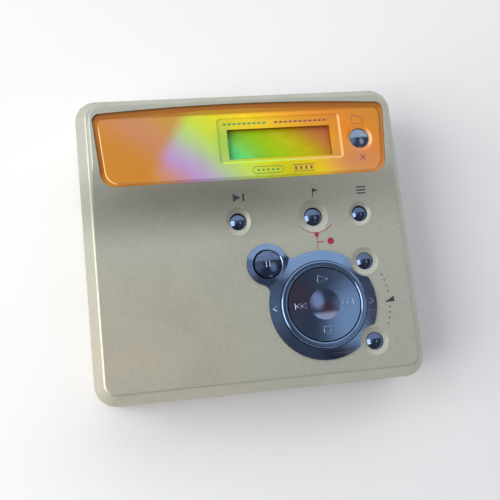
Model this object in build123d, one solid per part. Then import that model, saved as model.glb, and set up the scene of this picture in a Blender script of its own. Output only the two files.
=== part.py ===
"""Portable minidisc recorder: every piece is its own solid, in millimetres.

Frame: X to the right seen from the front, Y towards the hinge and the display, Z up.
The origin is the middle of the base, on the surface that the feet stand on.
"""
from build123d import *
from math import asin, atan2, cos, degrees, pi, radians, sin, sqrt, tan
import os

os.makedirs("parts", exist_ok=True)

# Clearances
running_fit = 0.05
seat_gap = 0.1
part_gap = 0.25

# Things the recorder takes in
disc_case_width = 72.0
disc_case_depth = 68.0
disc_case_height = 5.0
disc_case_play = 0.15
disc_height_play = 0.25
cell_radius = 7.15
cell_length = 50.5
cell_play = 0.15

# Room round them, which gives the recorder its overall size
side_room = 4.5
depth_room = 6.7
key_room = 0.9
pod_rise = 2.7
corner_radius = 5.2

# Lower case
foot_height = 0.5
foot_radius = 3.2
foot_inset_x = 13.0
foot_inset_y = 7.5
foot_pocket = 0.25
case_wall = 1.3
case_floor = 0.8
case_edge_radius = 1.2
rim_over_tray = 0.2
boss_radius = 2.2
boss_inset_x = 5.5
boss_middle_x = 5.0
boss_front_inset = 5.85
boss_rear_inset = 2.6
screw_radius = 0.7
screw_head_radius = 1.5
screw_head_height = 0.8

# Hinge of the lid
hinge_radius = 3.4
hinge_pin_radius = 0.9
hinge_ear_radius = 1.5
hinge_boss_radius = 2.4
tower_thickness = 1.4
tower_depth = 2.35
tower_neck = 0.65
tower_shelf_drop = 1.95
hinge_pin_inset = 1.2
barrel_end_angle = 60.0
barrel_wall = 1.3

# Lid shell
lid_wall = 1.3
lid_roof = 1.2
bevel_height = 3.5
bevel_width = 2.35
fold_radius = 0.8
brow_radius = 0.7
pod_side_lean = 8.0
pod_base_inset = 0.45
pod_edge_radius = 0.45
cove_depth = 12.7
brow_depth = 7.3
brow_over_lens = 5.9

# Display lens in the pod
lens_inset_x = 3.9
lens_narrowing = 1.4
lens_inset_rear = 5.45
lens_depth = 18.0
lens_crown = 1.25
lens_front_corner = 3.5
lens_rear_corner = 1.8
lens_edge_thickness = 0.9
lens_step = 0.6
lens_drop = 0.1
lens_side_ledge = 1.1
lens_rear_ledge = 1.2
lens_seat = 1.5
display_from_side = 31.6
display_from_rear = 9.2
display_width = 26.3
display_depth = 7.9
display_border = 3.0
frame_reach_left = 15.2
frame_reach_right = 15.7
frame_reach_front = 4.7
frame_reach_rear = 6.55
frame_depth = 0.25
frame_corner = 0.8
frame_lean = 35.0
display_thickness = 1.6
backing_thickness = 0.2

# Buttons on the lid face
row_in_cove = 4.05
end_from_dial = -18.85
mark_from_dial = 0.05
menu_from_dial = 12.05
volume_from_dial = 11.85
volume_up_reach = 10.0
volume_down_reach = 9.9
pause_from_dial_x = -12.75
pause_from_dial_y = 10.9
group_inset_x = 11.1
end_radius = 2.0
mark_radius = 2.2
menu_radius = 1.9
volume_radius = 2.05
pause_radius = 3.25
group_radius = 2.45
end_dish = 3.1
mark_dish = 3.7
menu_dish = 2.8
volume_dish = 3.45
group_dish = 3.5
dish_depth = 0.55
button_play = 0.12
button_travel = 0.25
button_flange = 0.6
button_flange_height = 0.35
button_proud = 0.45
stem_radius = 1.1

# Dial: bezel, jog ring and four-way disc
dial_inset_x = 24.85
dial_inset_y = 19.15
bezel_radius = 13.4
lobe_radius = 5.1
bezel_height = 0.75
bezel_rim_height = 0.35
lobe_height = 0.7
bezel_sink = 0.3
bezel_neck_radius = 2.0
bezel_corner_radius = 0.8
bezel_inner_radius = 10.85
scallop_radius = 4.0
ring_outer_radius = 10.7
ring_inner_radius = 9.15
ring_height = 1.35
ring_flange = 0.7
disc_radius = 8.95
disc_edge_height = 1.0
disc_crown = 0.35
disc_dish_radius = 3.9
disc_dish_depth = 0.5
disc_thickness = 0.75
tilt_plate_radius = 5.0
tilt_plate_thickness = 0.7
tilt_ball_radius = 0.6

# Boards in the lid
board_thickness = 0.5
board_gap = 0.25
key_board_inset = 4.3
lid_screw_inset = 6.3
lid_screw_reach = 21.15
lid_screw_row_gap = 7.85
lid_screw_front = 4.85
dome_radius = 1.2
dome_height = 0.15

# Disc holder
holder_sheet = 0.35
holder_front_gap = 1.6
holder_flange = 4.0
holder_window_left = 12.0
holder_window_reach = 3.2
holder_window_front = 6.4
holder_window_rear = 5.4

# Deck that carries the mechanism
deck_drop = 1.0
deck_thickness = 0.6
deck_to_bore = 1.5
case_board_z = 2.6
case_board_thickness = 0.8

# Spindle motor
spindle_bore = 0.8
stator_radius = 9.6
stator_z = 9.0
stator_plate = 0.6
coil_ring_radius = 6.9
coil_radius = 2.2
coil_height = 1.7
coil_count = 6
rotor_radius = 10.6
rotor_wall = 0.8
rotor_drop = 3.65
turntable_radius = 5.2
turntable_hub_radius = 3.4
turntable_rise = 0.95
stator_leg_radius = 0.9
stator_leg_ring = 11.9

# Optical sled and magnetic head
lens_inner_x = 14.5
disc_edge_to_track = 5.0
sled_left = 3.0
sled_right = 5.2
sled_front = 8.0
sled_rear = 8.0
sled_floor_drop = 4.8
sled_top_drop = 1.4
rod_radius = 1.0
rod_drop = 3.0
rod_offset = 11.0
rod_left_x = 9.6
hanger_thickness = 1.2
hanger_inset_x = 2.7
lens_holder_size = 5.6
lens_holder_drop = 1.05
lens_holder_height = 1.35
objective_radius = 1.9
strip_left = 1.0
strip_width = 3.5
strip_thickness = 0.8
strip_drop = 1.1
link_thickness = 0.4
arm_thickness = 0.35
arm_width = 3.0
arm_turn = 2.4
head_size = 4.0
arm_pin_radius = 0.4
arm_knuckle_radius = 0.9
link_ear = 0.5

# Sled drive
screw_shaft_radius = 0.9
screw_offset = 4.0
screw_drop = 1.2
gear_module = 0.3
screw_gear_teeth = 24
pinion_teeth = 10
gear_width = 1.2
gear_backlash = 0.12
motor_radius = 3.0
motor_length = 11.5

# Battery compartment
cell_from_rear = 12.35
tray_floor = 0.3
tray_wall = 0.6
tray_roof = 0.25
spring_wire = 0.35
spring_radius = 3.2
spring_turns = 3
spring_length = 2.4
door_wall = 1.3
door_contact = 0.3
door_pin_radius = 0.4
door_knuckle_radius = 0.9
door_knuckle_height = 3.2
door_swing_radius = 1.6

# Sockets and switches in the case walls
socket_z = 8.0
jack_bore = 1.8
jack_collar = 3.0
jack_length = 14.0
jack_width = 8.4
phones_y = -21.5
line_y = -8.0
supply_y = 3.0
supply_bore = 1.75
supply_pin = 0.5
supply_length = 9.0
supply_width = 6.4
usb_y = 21.0
usb_width = 7.7
usb_height = 3.9
usb_length = 8.5
usb_shell = 0.35
open_y = -23.0
open_length = 8.0
open_height = 3.2
open_travel = 2.5
hold_x = -12.0
hold_length = 7.0
hold_travel = 2.5
slider_z = 10.5
slider_plate = 0.7
slider_rim = 1.2
slider_cover = 0.6
strap_x = 31.0
strap_z = 6.0
strap_width = 7.0
strap_height = 4.0
strap_depth = 3.2
strap_bar_radius = 0.75

# Levels and places that follow from the sizes above
body_width = disc_case_width + 2 * side_room
body_depth = disc_case_depth + depth_room
half_width = body_width / 2
half_depth = body_depth / 2
case_top_of_floor = foot_height + case_floor
cell_z = case_top_of_floor + tray_floor + cell_play + cell_radius
bore_radius = cell_radius + cell_play
tray_top = cell_z + bore_radius + tray_roof
case_rim = tray_top + rim_over_tray
lid_bottom = case_rim + part_gap
hinge_y = half_depth - hinge_radius
hinge_z = lid_bottom + hinge_radius
tower_shelf_z = case_rim - tower_shelf_drop
holder_bottom = tray_top + 0.15
slot_bottom = holder_bottom + holder_sheet
slot_top = slot_bottom + disc_case_height + disc_height_play
holder_top = slot_top + holder_sheet
board_bottom = holder_top + board_gap
board_top = board_bottom + board_thickness
roof_underside = board_top + key_room
face_level = roof_underside + lid_roof
brow_level = face_level - bevel_height
body_height = face_level + pod_rise
holder_inner = disc_case_width / 2 + disc_case_play
holder_outer = holder_inner + holder_sheet
tower_inner = holder_outer + part_gap - seat_gap / 2
tower_outer = tower_inner + tower_thickness
disc_case_front = -half_depth + lid_wall + 0.45
disc_case_rear = disc_case_front + disc_case_depth
spindle_y = (disc_case_front + disc_case_rear) / 2
holder_front_y = disc_case_front + holder_front_gap
holder_window_front_y = spindle_y - holder_window_front
holder_window_open_y = disc_case_rear - holder_window_rear
deck_top = holder_bottom - deck_drop
deck_bottom = deck_top - deck_thickness
case_board_top = case_board_z + case_board_thickness
cell_y = half_depth - cell_from_rear
deck_rear_y = cell_y - bore_radius - deck_to_bore
boss_side_x = half_width - boss_inset_x
boss_front_y = -half_depth + boss_front_inset
boss_rear_y = deck_rear_y - boss_rear_inset
rotor_top = slot_bottom - rotor_drop
turntable_top = slot_bottom + turntable_rise
sled_travel = disc_case_width / 2 - disc_edge_to_track - lens_inner_x
holder_window_right = lens_inner_x + sled_travel + holder_window_reach
sled_floor_z = deck_bottom - sled_floor_drop
sled_top_z = deck_bottom - sled_top_drop
rod_z = deck_bottom - rod_drop
hanger_right_x = half_width - hanger_inset_x
lens_holder_z = deck_bottom - lens_holder_drop
strip_z = deck_bottom - strip_drop
lens_top_half = half_width - lens_inset_x
lens_bottom_half = lens_top_half - lens_narrowing
lens_rear_y = half_depth - lens_inset_rear
lens_front_y = lens_rear_y - lens_depth
pod_top_y = lens_front_y + brow_over_lens
cove_rear_y = pod_top_y - brow_depth
cove_front_y = cove_rear_y - cove_depth
display_x = half_width - display_from_side
display_y = lens_rear_y - display_from_rear
frame_left = display_x - frame_reach_left
frame_right = display_x + frame_reach_right
frame_front = display_y - frame_reach_front
frame_rear = display_y + frame_reach_rear
dial_x = half_width - dial_inset_x
dial_y = -half_depth + dial_inset_y
row_y = cove_front_y + row_in_cove
end_x = dial_x + end_from_dial
mark_x = dial_x + mark_from_dial
menu_x = dial_x + menu_from_dial
volume_x = dial_x + volume_from_dial
volume_up_y = dial_y + volume_up_reach
volume_down_y = dial_y - volume_down_reach
pause_x = dial_x + pause_from_dial_x
pause_y = dial_y + pause_from_dial_y
group_x = half_width - group_inset_x
group_y = display_y


def block(x0, x1, y0, y1, z0, z1):
    """A box between two corners."""
    size = Box(x1 - x0, y1 - y0, z1 - z0)
    return Pos((x0 + x1) / 2, (y0 + y1) / 2, (z0 + z1) / 2) * size


def post(x, y, z0, z1, radius):
    """An upright cylinder."""
    return Pos(x, y, (z0 + z1) / 2) * Cylinder(radius, z1 - z0)


def bar_x(x0, x1, y, z, radius):
    """A cylinder that lies along X."""
    return Pos((x0 + x1) / 2, y, z) * Rot(0, 90, 0) * Cylinder(radius, x1 - x0)


def bar_y(y0, y1, x, z, radius):
    """A cylinder that lies along Y."""
    return Pos(x, (y0 + y1) / 2, z) * Rot(90, 0, 0) * Cylinder(radius, y1 - y0)


def outline(inset=0.0):
    """The body's outline seen from above, drawn in by a distance."""
    radius = corner_radius - inset
    return RectangleRounded(body_width - 2 * inset, body_depth - 2 * inset, radius)


def prism(shape, z0, z1, lean=0.0):
    """A flat shape raised from one level to another, leaning inwards."""
    return Pos(0, 0, z0) * extrude(shape, z1 - z0, taper=lean)


def both_sides(shape):
    """A piece and its mirror image across the middle."""
    return shape + mirror(shape, Plane.YZ)


def one_solid(shape):
    """The largest solid of a result, free of slivers."""
    return max(shape.solids(), key=lambda solid: solid.volume)


def save(shape, node):
    """Writes one piece under its name."""
    solids = shape.solids()
    piece = solids[0] if len(solids) == 1 else Compound(children=list(solids))
    piece.label = node
    export_step(piece, "parts/" + node + ".step")


# ---------------------------------------------------------------- lower case

def foot_places():
    """The four feet's centres."""
    return [
        (sx * (half_width - foot_inset_x), sy * (half_depth - foot_inset_y))
        for sx in (-1, 1)
        for sy in (-1, 1)
    ]


def boss_places():
    """The four screw bosses' centres."""
    front = [(-boss_side_x, boss_front_y), (boss_side_x, boss_front_y)]
    rear = [(-boss_side_x, boss_rear_y), (boss_middle_x, boss_rear_y)]
    return front + rear


def case_outside():
    """The lower case's outer form, with the hollow that the lid's barrel turns in."""
    lip_top = hinge_z
    tall = prism(outline(), foot_height, lip_top)
    low_edges = tall.edges().group_by(Axis.Z)[0]
    tall = fillet(low_edges, case_edge_radius)
    above = block(-half_width, half_width, -half_depth, hinge_y, case_rim, lip_top)
    hollow = bar_x(-half_width, half_width, hinge_y, hinge_z, hinge_radius + part_gap)
    return tall - above - hollow


def hinge_tower(side):
    """One ear of the case that holds a hinge pin, with its neck, shelf and column."""
    x0, x1 = sorted((side * tower_inner, side * tower_outer))
    neck_y = hinge_y - tower_neck
    front_y = neck_y - tower_depth
    wall_y = half_depth - case_wall + 0.2
    shelf_top = lid_bottom - part_gap - seat_gap
    top = hinge_z + hinge_ear_radius
    neck = block(x0, x1, front_y, neck_y, tower_shelf_z, top)
    bridge = block(x0, x1, neck_y, hinge_y, hinge_z - 1.2, top)
    ear = bar_x(x0, x1, hinge_y, hinge_z, hinge_ear_radius)
    hole = bar_x(x0, x1, hinge_y, hinge_z, hinge_pin_radius)
    shelf = block(x0, x1, front_y, wall_y, tower_shelf_z, shelf_top)
    column_y = cell_y + bore_radius + tray_wall + 0.2
    column = block(x0, x1, column_y, wall_y, foot_height + 0.4, shelf_top)
    return neck + bridge + ear + shelf + column - hole


def door_opening(gap):
    """The space of the battery door, wider by a gap."""
    lowest = case_top_of_floor + 0.15 - gap
    front = door_hinge_y() - gap
    rear = cell_y + bore_radius + 0.75 + gap
    return block(-half_width - 1, -half_width + case_wall, front, rear, lowest, hinge_z)


def door_hinge_x():
    return -half_width + door_knuckle_radius + 0.05


def door_hinge_y():
    return cell_y - bore_radius - door_knuckle_radius


def door_knuckle_levels():
    """Lower and upper knuckles of the door: start and end levels."""
    low = case_top_of_floor + 1.0
    high = case_rim - 1.2
    return [(low, low + door_knuckle_height), (high - door_knuckle_height, high)]


def door_hinge_space():
    """Room in the wall for the door's knuckles to turn in."""
    x, y = door_hinge_x(), door_hinge_y()
    low = case_top_of_floor + 0.15 - part_gap
    room = post(x, y, low, case_rim, door_knuckle_radius + part_gap - seat_gap)
    swing = post(x, y, low, case_rim, door_swing_radius)
    return room + (swing & block(-half_width - 1, x - seat_gap, 0, body_depth, low, case_rim))


def case_door_knuckle():
    """The middle knuckle, which stands on the case."""
    x, y = door_hinge_x(), door_hinge_y()
    z0 = door_knuckle_levels()[0][1] + seat_gap
    z1 = door_knuckle_levels()[1][0] - seat_gap
    barrel = post(x, y, z0, z1, door_knuckle_radius)
    root = block(
        x - seat_gap,
        x + door_knuckle_radius,
        y - door_knuckle_radius - part_gap - 0.2,
        y - 0.3,
        z0,
        z1,
    )
    return barrel + root - post(x, y, z0, z1, door_pin_radius)


def lower_case():
    body = case_outside()
    inner = prism(outline(case_wall), case_top_of_floor, hinge_z + 1)
    body = body - inner
    for side in (-1, 1):
        body = body + (hinge_tower(side) & prism(outline(0.5), 0, body_height))
    for x, y in boss_places():
        body = body + post(x, y, foot_height + 0.3, deck_bottom, boss_radius)
        body = body - post(x, y, case_board_top + 3.5, deck_bottom, screw_radius)
        body = body - post(x, y, foot_height, foot_height + screw_head_height, screw_head_radius)
        body = body - post(x, y, foot_height, case_board_top, screw_radius)
    for x, y in foot_places():
        body = body - post(x, y, foot_height, foot_height + foot_pocket, foot_radius)
    body = body - door_opening(part_gap - seat_gap) - door_hinge_space() + case_door_knuckle()
    for x, y in board_pillars():
        body = body + post(x, y, case_top_of_floor, case_board_z, 1.3)
    wall_in = half_width - case_wall - 1
    for y in (phones_y, line_y):
        body = body - bar_x(-half_width - 1, -wall_in, y, socket_z, jack_collar + seat_gap)
    supply = supply_width / 2 - seat_gap
    body = body - bar_x(wall_in, half_width + 1, supply_y, supply_z(), supply)
    mouth = usb_width / 2 + seat_gap
    usb_low = case_board_top - seat_gap
    usb_high = case_board_top + usb_height + seat_gap
    body = body - block(wall_in, half_width + 1, usb_y - mouth, usb_y + mouth, usb_low, usb_high)
    body = body - open_slot() - hold_slot()
    body = body + strap_well(0.0, case_wall) - strap_well(0.0, 0.0)
    return one_solid(body)


def board_pillars():
    """Short posts under the main board."""
    return [(-20.0, -30.0), (20.0, -30.0), (-20.0, 8.0), (20.0, 8.0)]


def open_slot():
    half = slider_slot_half(open_height)
    return block(
        half_width - case_wall - 0.5,
        half_width + 1,
        open_y - open_length / 2 - open_travel - part_gap,
        open_y + open_length / 2 + part_gap,
        slider_z - half,
        slider_z + half,
    )


def hold_slot():
    half = slider_slot_half(open_height)
    return block(
        hold_x - hold_length / 2 - part_gap,
        hold_x + hold_length / 2 + hold_travel + part_gap,
        -half_depth - 1,
        -half_depth + case_wall + 0.5,
        slider_z - half,
        slider_z + half,
    )


def slider_slot_half(height):
    return height / 2 + seat_gap


def strap_well(gap, skin):
    """The pocket behind the strap bar in the rear wall."""
    x0 = strap_x - strap_width / 2 - skin
    x1 = strap_x + strap_width / 2 + skin
    z0 = strap_z - strap_height / 2 - skin
    z1 = strap_z + strap_height / 2 + skin
    rear = half_depth if skin else half_depth + 1
    return block(x0, x1, half_depth - strap_depth - skin, rear, z0, z1)


def strap_bar():
    """The bar that a wrist strap loops round."""
    z0 = strap_z - strap_height / 2
    z1 = strap_z + strap_height / 2
    return post(strap_x, half_depth - strap_bar_radius - 0.35, z0, z1, strap_bar_radius)


def feet():
    """Four rubber feet in their pockets."""
    shape = None
    for x, y in foot_places():
        foot = post(x, y, 0, foot_height + foot_pocket, foot_radius - seat_gap)
        foot = fillet(foot.edges().group_by(Axis.Z)[0], 0.2)
        shape = foot if shape is None else shape + foot
    return shape


def case_screws():
    """Four screws from below into the bosses."""
    shape = None
    for x, y in boss_places():
        head_top = foot_height + screw_head_height
        head = post(x, y, foot_height + 0.1, head_top, screw_head_radius - seat_gap)
        cross = block(x - 0.8, x + 0.8, y - 0.15, y + 0.15, 0, foot_height + 0.5)
        cross = cross + block(x - 0.15, x + 0.15, y - 0.8, y + 0.8, 0, foot_height + 0.5)
        shank = post(x, y, foot_height + screw_head_height, case_board_top, screw_radius)
        screw = head + shank - cross
        shape = screw if shape is None else shape + screw
    return shape


def hinge_pins():
    """Two short pins that the lid and the disc holder turn on."""
    end = half_width - hinge_pin_inset
    right = bar_x(holder_inner, end, hinge_y, hinge_z, hinge_pin_radius)
    return both_sides(right)


# ---------------------------------------------------------------- deck and mechanism

def deck():
    """Steel deck with its windows, rod hangers and motor saddle."""
    x1 = half_width - case_wall - part_gap
    y0 = -half_depth + case_wall + part_gap + slider_plate + part_gap
    plate = block(-x1 + 0.6, x1 - 1.2, y0, deck_rear_y, deck_bottom, deck_top)
    plate = plate - post(0, spindle_y, 0, deck_top, turntable_radius + 1.6)
    reach = lens_holder_size / 2 + 0.6
    plate = plate - block(
        lens_inner_x - reach,
        lens_inner_x + sled_travel + reach,
        spindle_y - reach,
        spindle_y + reach,
        deck_bottom,
        deck_top,
    )
    plate = plate & prism(outline(case_wall + part_gap), 0, case_rim)
    for x, y in boss_places():
        plate = plate - post(x, y, deck_bottom, deck_top, screw_radius)
    front_rod, rear_rod = rod_places()
    for left, right in hanger_spans():
        low = screw_z() - 2.0
        front = block(left, right, screw_y() - 2.0, front_rod + 2.0, low, deck_bottom)
        rear = block(left, right, rear_rod - 2.0, rear_rod + 2.0, sled_floor_z, deck_bottom)
        plate = plate + front + rear
        plate = plate - bar_x(left, right, screw_y(), screw_z(), screw_shaft_radius + running_fit)
        for y in rod_places():
            plate = plate - bar_x(left, right, y, rod_z, rod_radius)
    saddle = block(
        motor_left_x() + 2,
        motor_left_x() + motor_length - 2,
        motor_y() - 2.4,
        motor_y() + 2.4,
        screw_z() + motor_radius - 0.8,
        deck_bottom,
    )
    shell = bar_x(-half_width, half_width, motor_y(), screw_z(), motor_radius)
    return one_solid(plate + (saddle - shell))


def deck_screws():
    """Four screws that hold the deck on the bosses."""
    shape = None
    for x, y in boss_places():
        head = post(x, y, deck_top, deck_top + 0.6, screw_head_radius)
        shank = post(x, y, deck_bottom - 4.0, deck_top, screw_radius)
        slot = block(x - 1.0, x + 1.0, y - 0.15, y + 0.15, deck_top + 0.3, deck_top + 1)
        screw = head + shank - slot
        shape = screw if shape is None else shape + screw
    return shape


def hanger_spans():
    """The two rod hangers' spans along X."""
    left = (rod_left_x, rod_left_x + hanger_thickness)
    right = (hanger_right_x - hanger_thickness, hanger_right_x)
    return [left, right]


def rod_places():
    return [spindle_y - rod_offset, spindle_y + rod_offset]


def screw_y():
    return spindle_y - rod_offset - screw_offset


def screw_z():
    return rod_z - screw_drop


def gear_radius(teeth):
    return gear_module * teeth / 2


def motor_y():
    return screw_y() - gear_radius(screw_gear_teeth) - gear_radius(pinion_teeth)


def gear_left_x():
    return rod_left_x - seat_gap - gear_width


def motor_left_x():
    return gear_left_x() - 0.6 - motor_length


def guide_rods():
    """Two steel rods that the sled runs on."""
    shape = None
    for y in rod_places():
        rod = bar_x(rod_left_x, hanger_right_x, y, rod_z, rod_radius)
        shape = rod if shape is None else shape + rod
    return shape


def spindle_stator():
    """The spindle motor's base plate, its coils, its bearing and three legs."""
    top = stator_z + stator_plate
    plate = post(0, spindle_y, stator_z, top, stator_radius)
    bearing = post(0, spindle_y, top, rotor_top - rotor_wall - 0.3, 2.0)
    shape = plate + bearing
    for number in range(coil_count):
        angle = 2 * pi * number / coil_count
        x = coil_ring_radius * cos(angle)
        y = spindle_y + coil_ring_radius * sin(angle)
        coil = post(x, y, top, top + coil_height, coil_radius)
        coil = coil - post(x, y, top, top + coil_height, coil_radius * 0.4)
        shape = shape + coil
    for angle in (100, 180, 260):
        turn = Pos(0, spindle_y, 0) * Rot(0, 0, angle)
        reach = stator_leg_ring + stator_leg_radius
        lug = block(stator_radius - 1.5, reach, -1.4, 1.4, stator_z, top)
        leg = post(stator_leg_ring, 0, top, deck_bottom, stator_leg_radius)
        shape = shape + turn * (lug + leg)
    bore = post(0, spindle_y, stator_z, deck_top, spindle_bore)
    return one_solid(shape - bore)


def spindle_rotor():
    """The rotor cup with its shaft."""
    skirt_z = stator_z + stator_plate + seat_gap * 2
    cup = post(0, spindle_y, skirt_z, rotor_top, rotor_radius)
    inner = rotor_radius - rotor_wall
    cup = cup - post(0, spindle_y, skirt_z, rotor_top - rotor_wall, inner)
    shaft = post(0, spindle_y, stator_z + 0.1, rotor_top, spindle_bore - running_fit)
    return one_solid(cup + shaft)


def turntable():
    """The table that the disc's hub sits on, with its centring cone."""
    table_top = slot_bottom + 0.35
    table = post(0, spindle_y, rotor_top, table_top, turntable_radius)
    hub = post(0, spindle_y, table_top, turntable_top, turntable_hub_radius)
    hub = chamfer(hub.edges().group_by(Axis.Z)[-1], 0.25)
    dish = post(0, spindle_y, turntable_top - 0.3, turntable_top, 1.6)
    return table + hub - dish


def optical_sled():
    """The sled's casting: bushings, fork, strip to the rear and upright link."""
    x0 = lens_inner_x - sled_left
    x1 = lens_inner_x + sled_right
    front_y = spindle_y - sled_front
    rear_y = spindle_y + sled_rear
    body = block(x0, x1, front_y, rear_y, sled_floor_z, sled_top_z)
    front_rod, rear_rod = rod_places()
    bush = block(x0 + 0.4, x1 - 0.2, front_rod - 1.8, front_y, sled_floor_z, sled_top_z)
    bush = bush - bar_x(x0, x1, front_rod, rod_z, rod_radius + running_fit)
    fork = block(x0 + 2.4, x0 + 5.4, rear_y, rear_rod + 1.6, sled_floor_z + 0.2, sled_top_z)
    fork = fork - block(x0, x1, rear_rod - 1.05, rear_rod + 2, rod_z - 1.05, rod_z + 1.05)
    nut_z = screw_z() + screw_shaft_radius + seat_gap
    nut = block(x0 + 2, x0 + 5, screw_y() - 0.8, front_rod - 1.8, nut_z, sled_top_z)
    left, right = link_span()
    strip_top = strip_z + strip_thickness
    strip = block(left, right, rear_y - 1, link_y() + link_thickness, strip_z, strip_top)
    riser = block(left, right, rear_y - 2, rear_y, sled_top_z - 1, strip_top)
    link_top = hinge_z - arm_knuckle_radius - part_gap
    link = block(left, right, link_y(), link_y() + link_thickness, strip_z, link_top)
    shape = body + bush + nut + strip + riser + link
    for prong in fork.solids():
        shape = shape + prong
    for ear_x in (left, right - link_ear):
        brace = block(ear_x, ear_x + link_ear, link_y(), hinge_y, link_top - 1.0, hinge_z + 0.3)
        brace = brace & bar_x(left, right, hinge_y, hinge_z, hinge_radius - barrel_wall - 0.3)
        ear = bar_x(ear_x, ear_x + link_ear, hinge_y, hinge_z, arm_knuckle_radius)
        foot = block(ear_x, ear_x + link_ear, link_y(), link_y() + link_thickness, strip_z, hinge_z)
        shape = shape + brace + ear + foot
    shape = shape - bar_x(left, right, hinge_y, hinge_z, arm_pin_radius)
    well = lens_holder_size / 2 + 0.3
    shape = shape - block(
        lens_inner_x - well + 0.2,
        lens_inner_x + well - 0.2,
        spindle_y - well,
        spindle_y + well,
        sled_top_z - 0.6,
        deck_top,
    )
    return one_solid(shape)


def link_span():
    """The upright link's span along X, which the arm's ears keep to."""
    left = lens_inner_x + strip_left
    return left, left + strip_width


def link_y():
    """Front face of the upright link, behind the inserted disc."""
    return disc_case_rear + 0.2


def arm_blade_z():
    return slot_top + seat_gap


def arm_pin():
    """The pin that the magnetic head's arm turns on, in line with the lid's hinge."""
    left, right = link_span()
    return bar_x(left, right, hinge_y, hinge_z, arm_pin_radius)


def head_arm():
    """The sheet arm that reaches over the disc to the magnetic head."""
    left, right = link_span()
    x0 = left + link_ear + seat_gap
    x1 = right - link_ear - seat_gap
    z0 = arm_blade_z()
    z1 = z0 + arm_thickness
    turn_y = holder_window_open_y + arm_turn + 0.5
    back_y = link_y() + arm_thickness
    rear = block(x0, x1, turn_y, back_y, z0, z1)
    upright = block(x0, x1, link_y(), back_y, hinge_z - 0.3, z1)
    bridge = block(x0, x1, link_y(), hinge_y, hinge_z - 0.3, hinge_z + 0.3)
    half = arm_width / 2
    cross = block(lens_inner_x - half, x1, turn_y - arm_turn, turn_y, z0, z1)
    middle = lens_inner_x
    long_arm = block(middle - half, middle + half, spindle_y + head_size / 2, turn_y, z0, z1)
    knuckle = bar_x(x0, x1, hinge_y, hinge_z, arm_knuckle_radius)
    hole = bar_x(x0, x1, hinge_y, hinge_z, arm_pin_radius + running_fit)
    return one_solid(rear + upright + bridge + cross + long_arm + knuckle - hole)


def magnetic_head():
    """The head's pad at the end of its arm."""
    half = head_size / 2
    z0 = arm_blade_z()
    z1 = z0 + arm_thickness
    middle = lens_inner_x
    pad = block(middle - half, middle + half, spindle_y - half, spindle_y + half, z0, z1)
    return fillet(pad.edges().filter_by(Axis.Z), 0.8)


def lens_holder():
    """The focusing frame that carries the objective."""
    half = lens_holder_size / 2
    z1 = lens_holder_z + lens_holder_height
    frame = block(
        lens_inner_x - half, lens_inner_x + half, spindle_y - half, spindle_y + half, lens_holder_z, z1)
    frame = fillet(frame.edges().filter_by(Axis.Z), 0.8)
    return frame - post(lens_inner_x, spindle_y, lens_holder_z, z1, objective_radius)


def objective_lens():
    """The objective: a flat rim with a domed middle."""
    z0 = lens_holder_z + 0.3
    rim = post(lens_inner_x, spindle_y, z0, z0 + 0.7, objective_radius)
    dome_sphere = 3.2
    dip = sqrt(dome_sphere**2 - (objective_radius - 0.3) ** 2)
    dome = Pos(lens_inner_x, spindle_y, z0 + 0.7 - dip) * Sphere(dome_sphere)
    dome = dome & post(lens_inner_x, spindle_y, z0 + 0.7, z0 + 2, objective_radius)
    return rim + dome


def gear_blank(teeth, tip_play):
    """A spur gear standing along Z, its first tooth on +X."""
    pitch = gear_radius(teeth)
    tip = pitch + gear_module - tip_play
    root = pitch - 1.25 * gear_module
    wheel = Circle(root)
    at_pitch = pi * gear_module / 4 - gear_backlash / 2
    root_half = at_pitch + 1.25 * gear_module * tan(radians(20))
    tip_half = at_pitch - gear_module * tan(radians(20))
    root_half = min(root_half, pi * root / teeth * 0.8)
    for number in range(teeth):
        tooth = Polygon(
            (root - 0.15, -root_half),
            (tip, -tip_half),
            (tip, tip_half),
            (root - 0.15, root_half),
            align=None,
        )
        wheel = wheel + Rot(0, 0, 360 * number / teeth) * tooth
    return extrude(wheel, gear_width)


def laid_along_x(shape, x, y, z):
    """Turns a piece that stands along Z so that it runs along +X from a point."""
    return Pos(x, y, z) * Rot(0, 90, 0) * shape


def lead_screw():
    """The screw shaft that drives the sled."""
    return bar_x(gear_left_x(), hanger_right_x - 0.1, screw_y(), screw_z(), screw_shaft_radius)


def screw_gear():
    """The gear on the end of the lead screw."""
    blank = Rot(0, 0, 90) * gear_blank(screw_gear_teeth, 0.05)
    wheel = laid_along_x(blank, gear_left_x(), screw_y(), screw_z())
    return one_solid(wheel - lead_screw())


def motor_pinion():
    """The pinion on the sled motor's shaft."""
    half_tooth = 180 / pinion_teeth
    blank = Rot(0, 0, 90 + half_tooth) * gear_blank(pinion_teeth, 0.05)
    wheel = laid_along_x(blank, gear_left_x(), motor_y(), screw_z())
    shaft = bar_x(gear_left_x() - 0.5, gear_left_x(), motor_y(), screw_z(), 0.5)
    return one_solid(wheel + shaft)


def sled_motor():
    """The small can motor that turns the lead screw."""
    x0 = motor_left_x()
    can = bar_x(x0, x0 + motor_length, motor_y(), screw_z(), motor_radius)
    can = fillet(can.edges(), 0.4)
    nose = bar_x(x0 + motor_length - 0.2, x0 + motor_length + 0.1, motor_y(), screw_z(), 1.2)
    return can + nose


# ---------------------------------------------------------------- boards, sockets, switches

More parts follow.
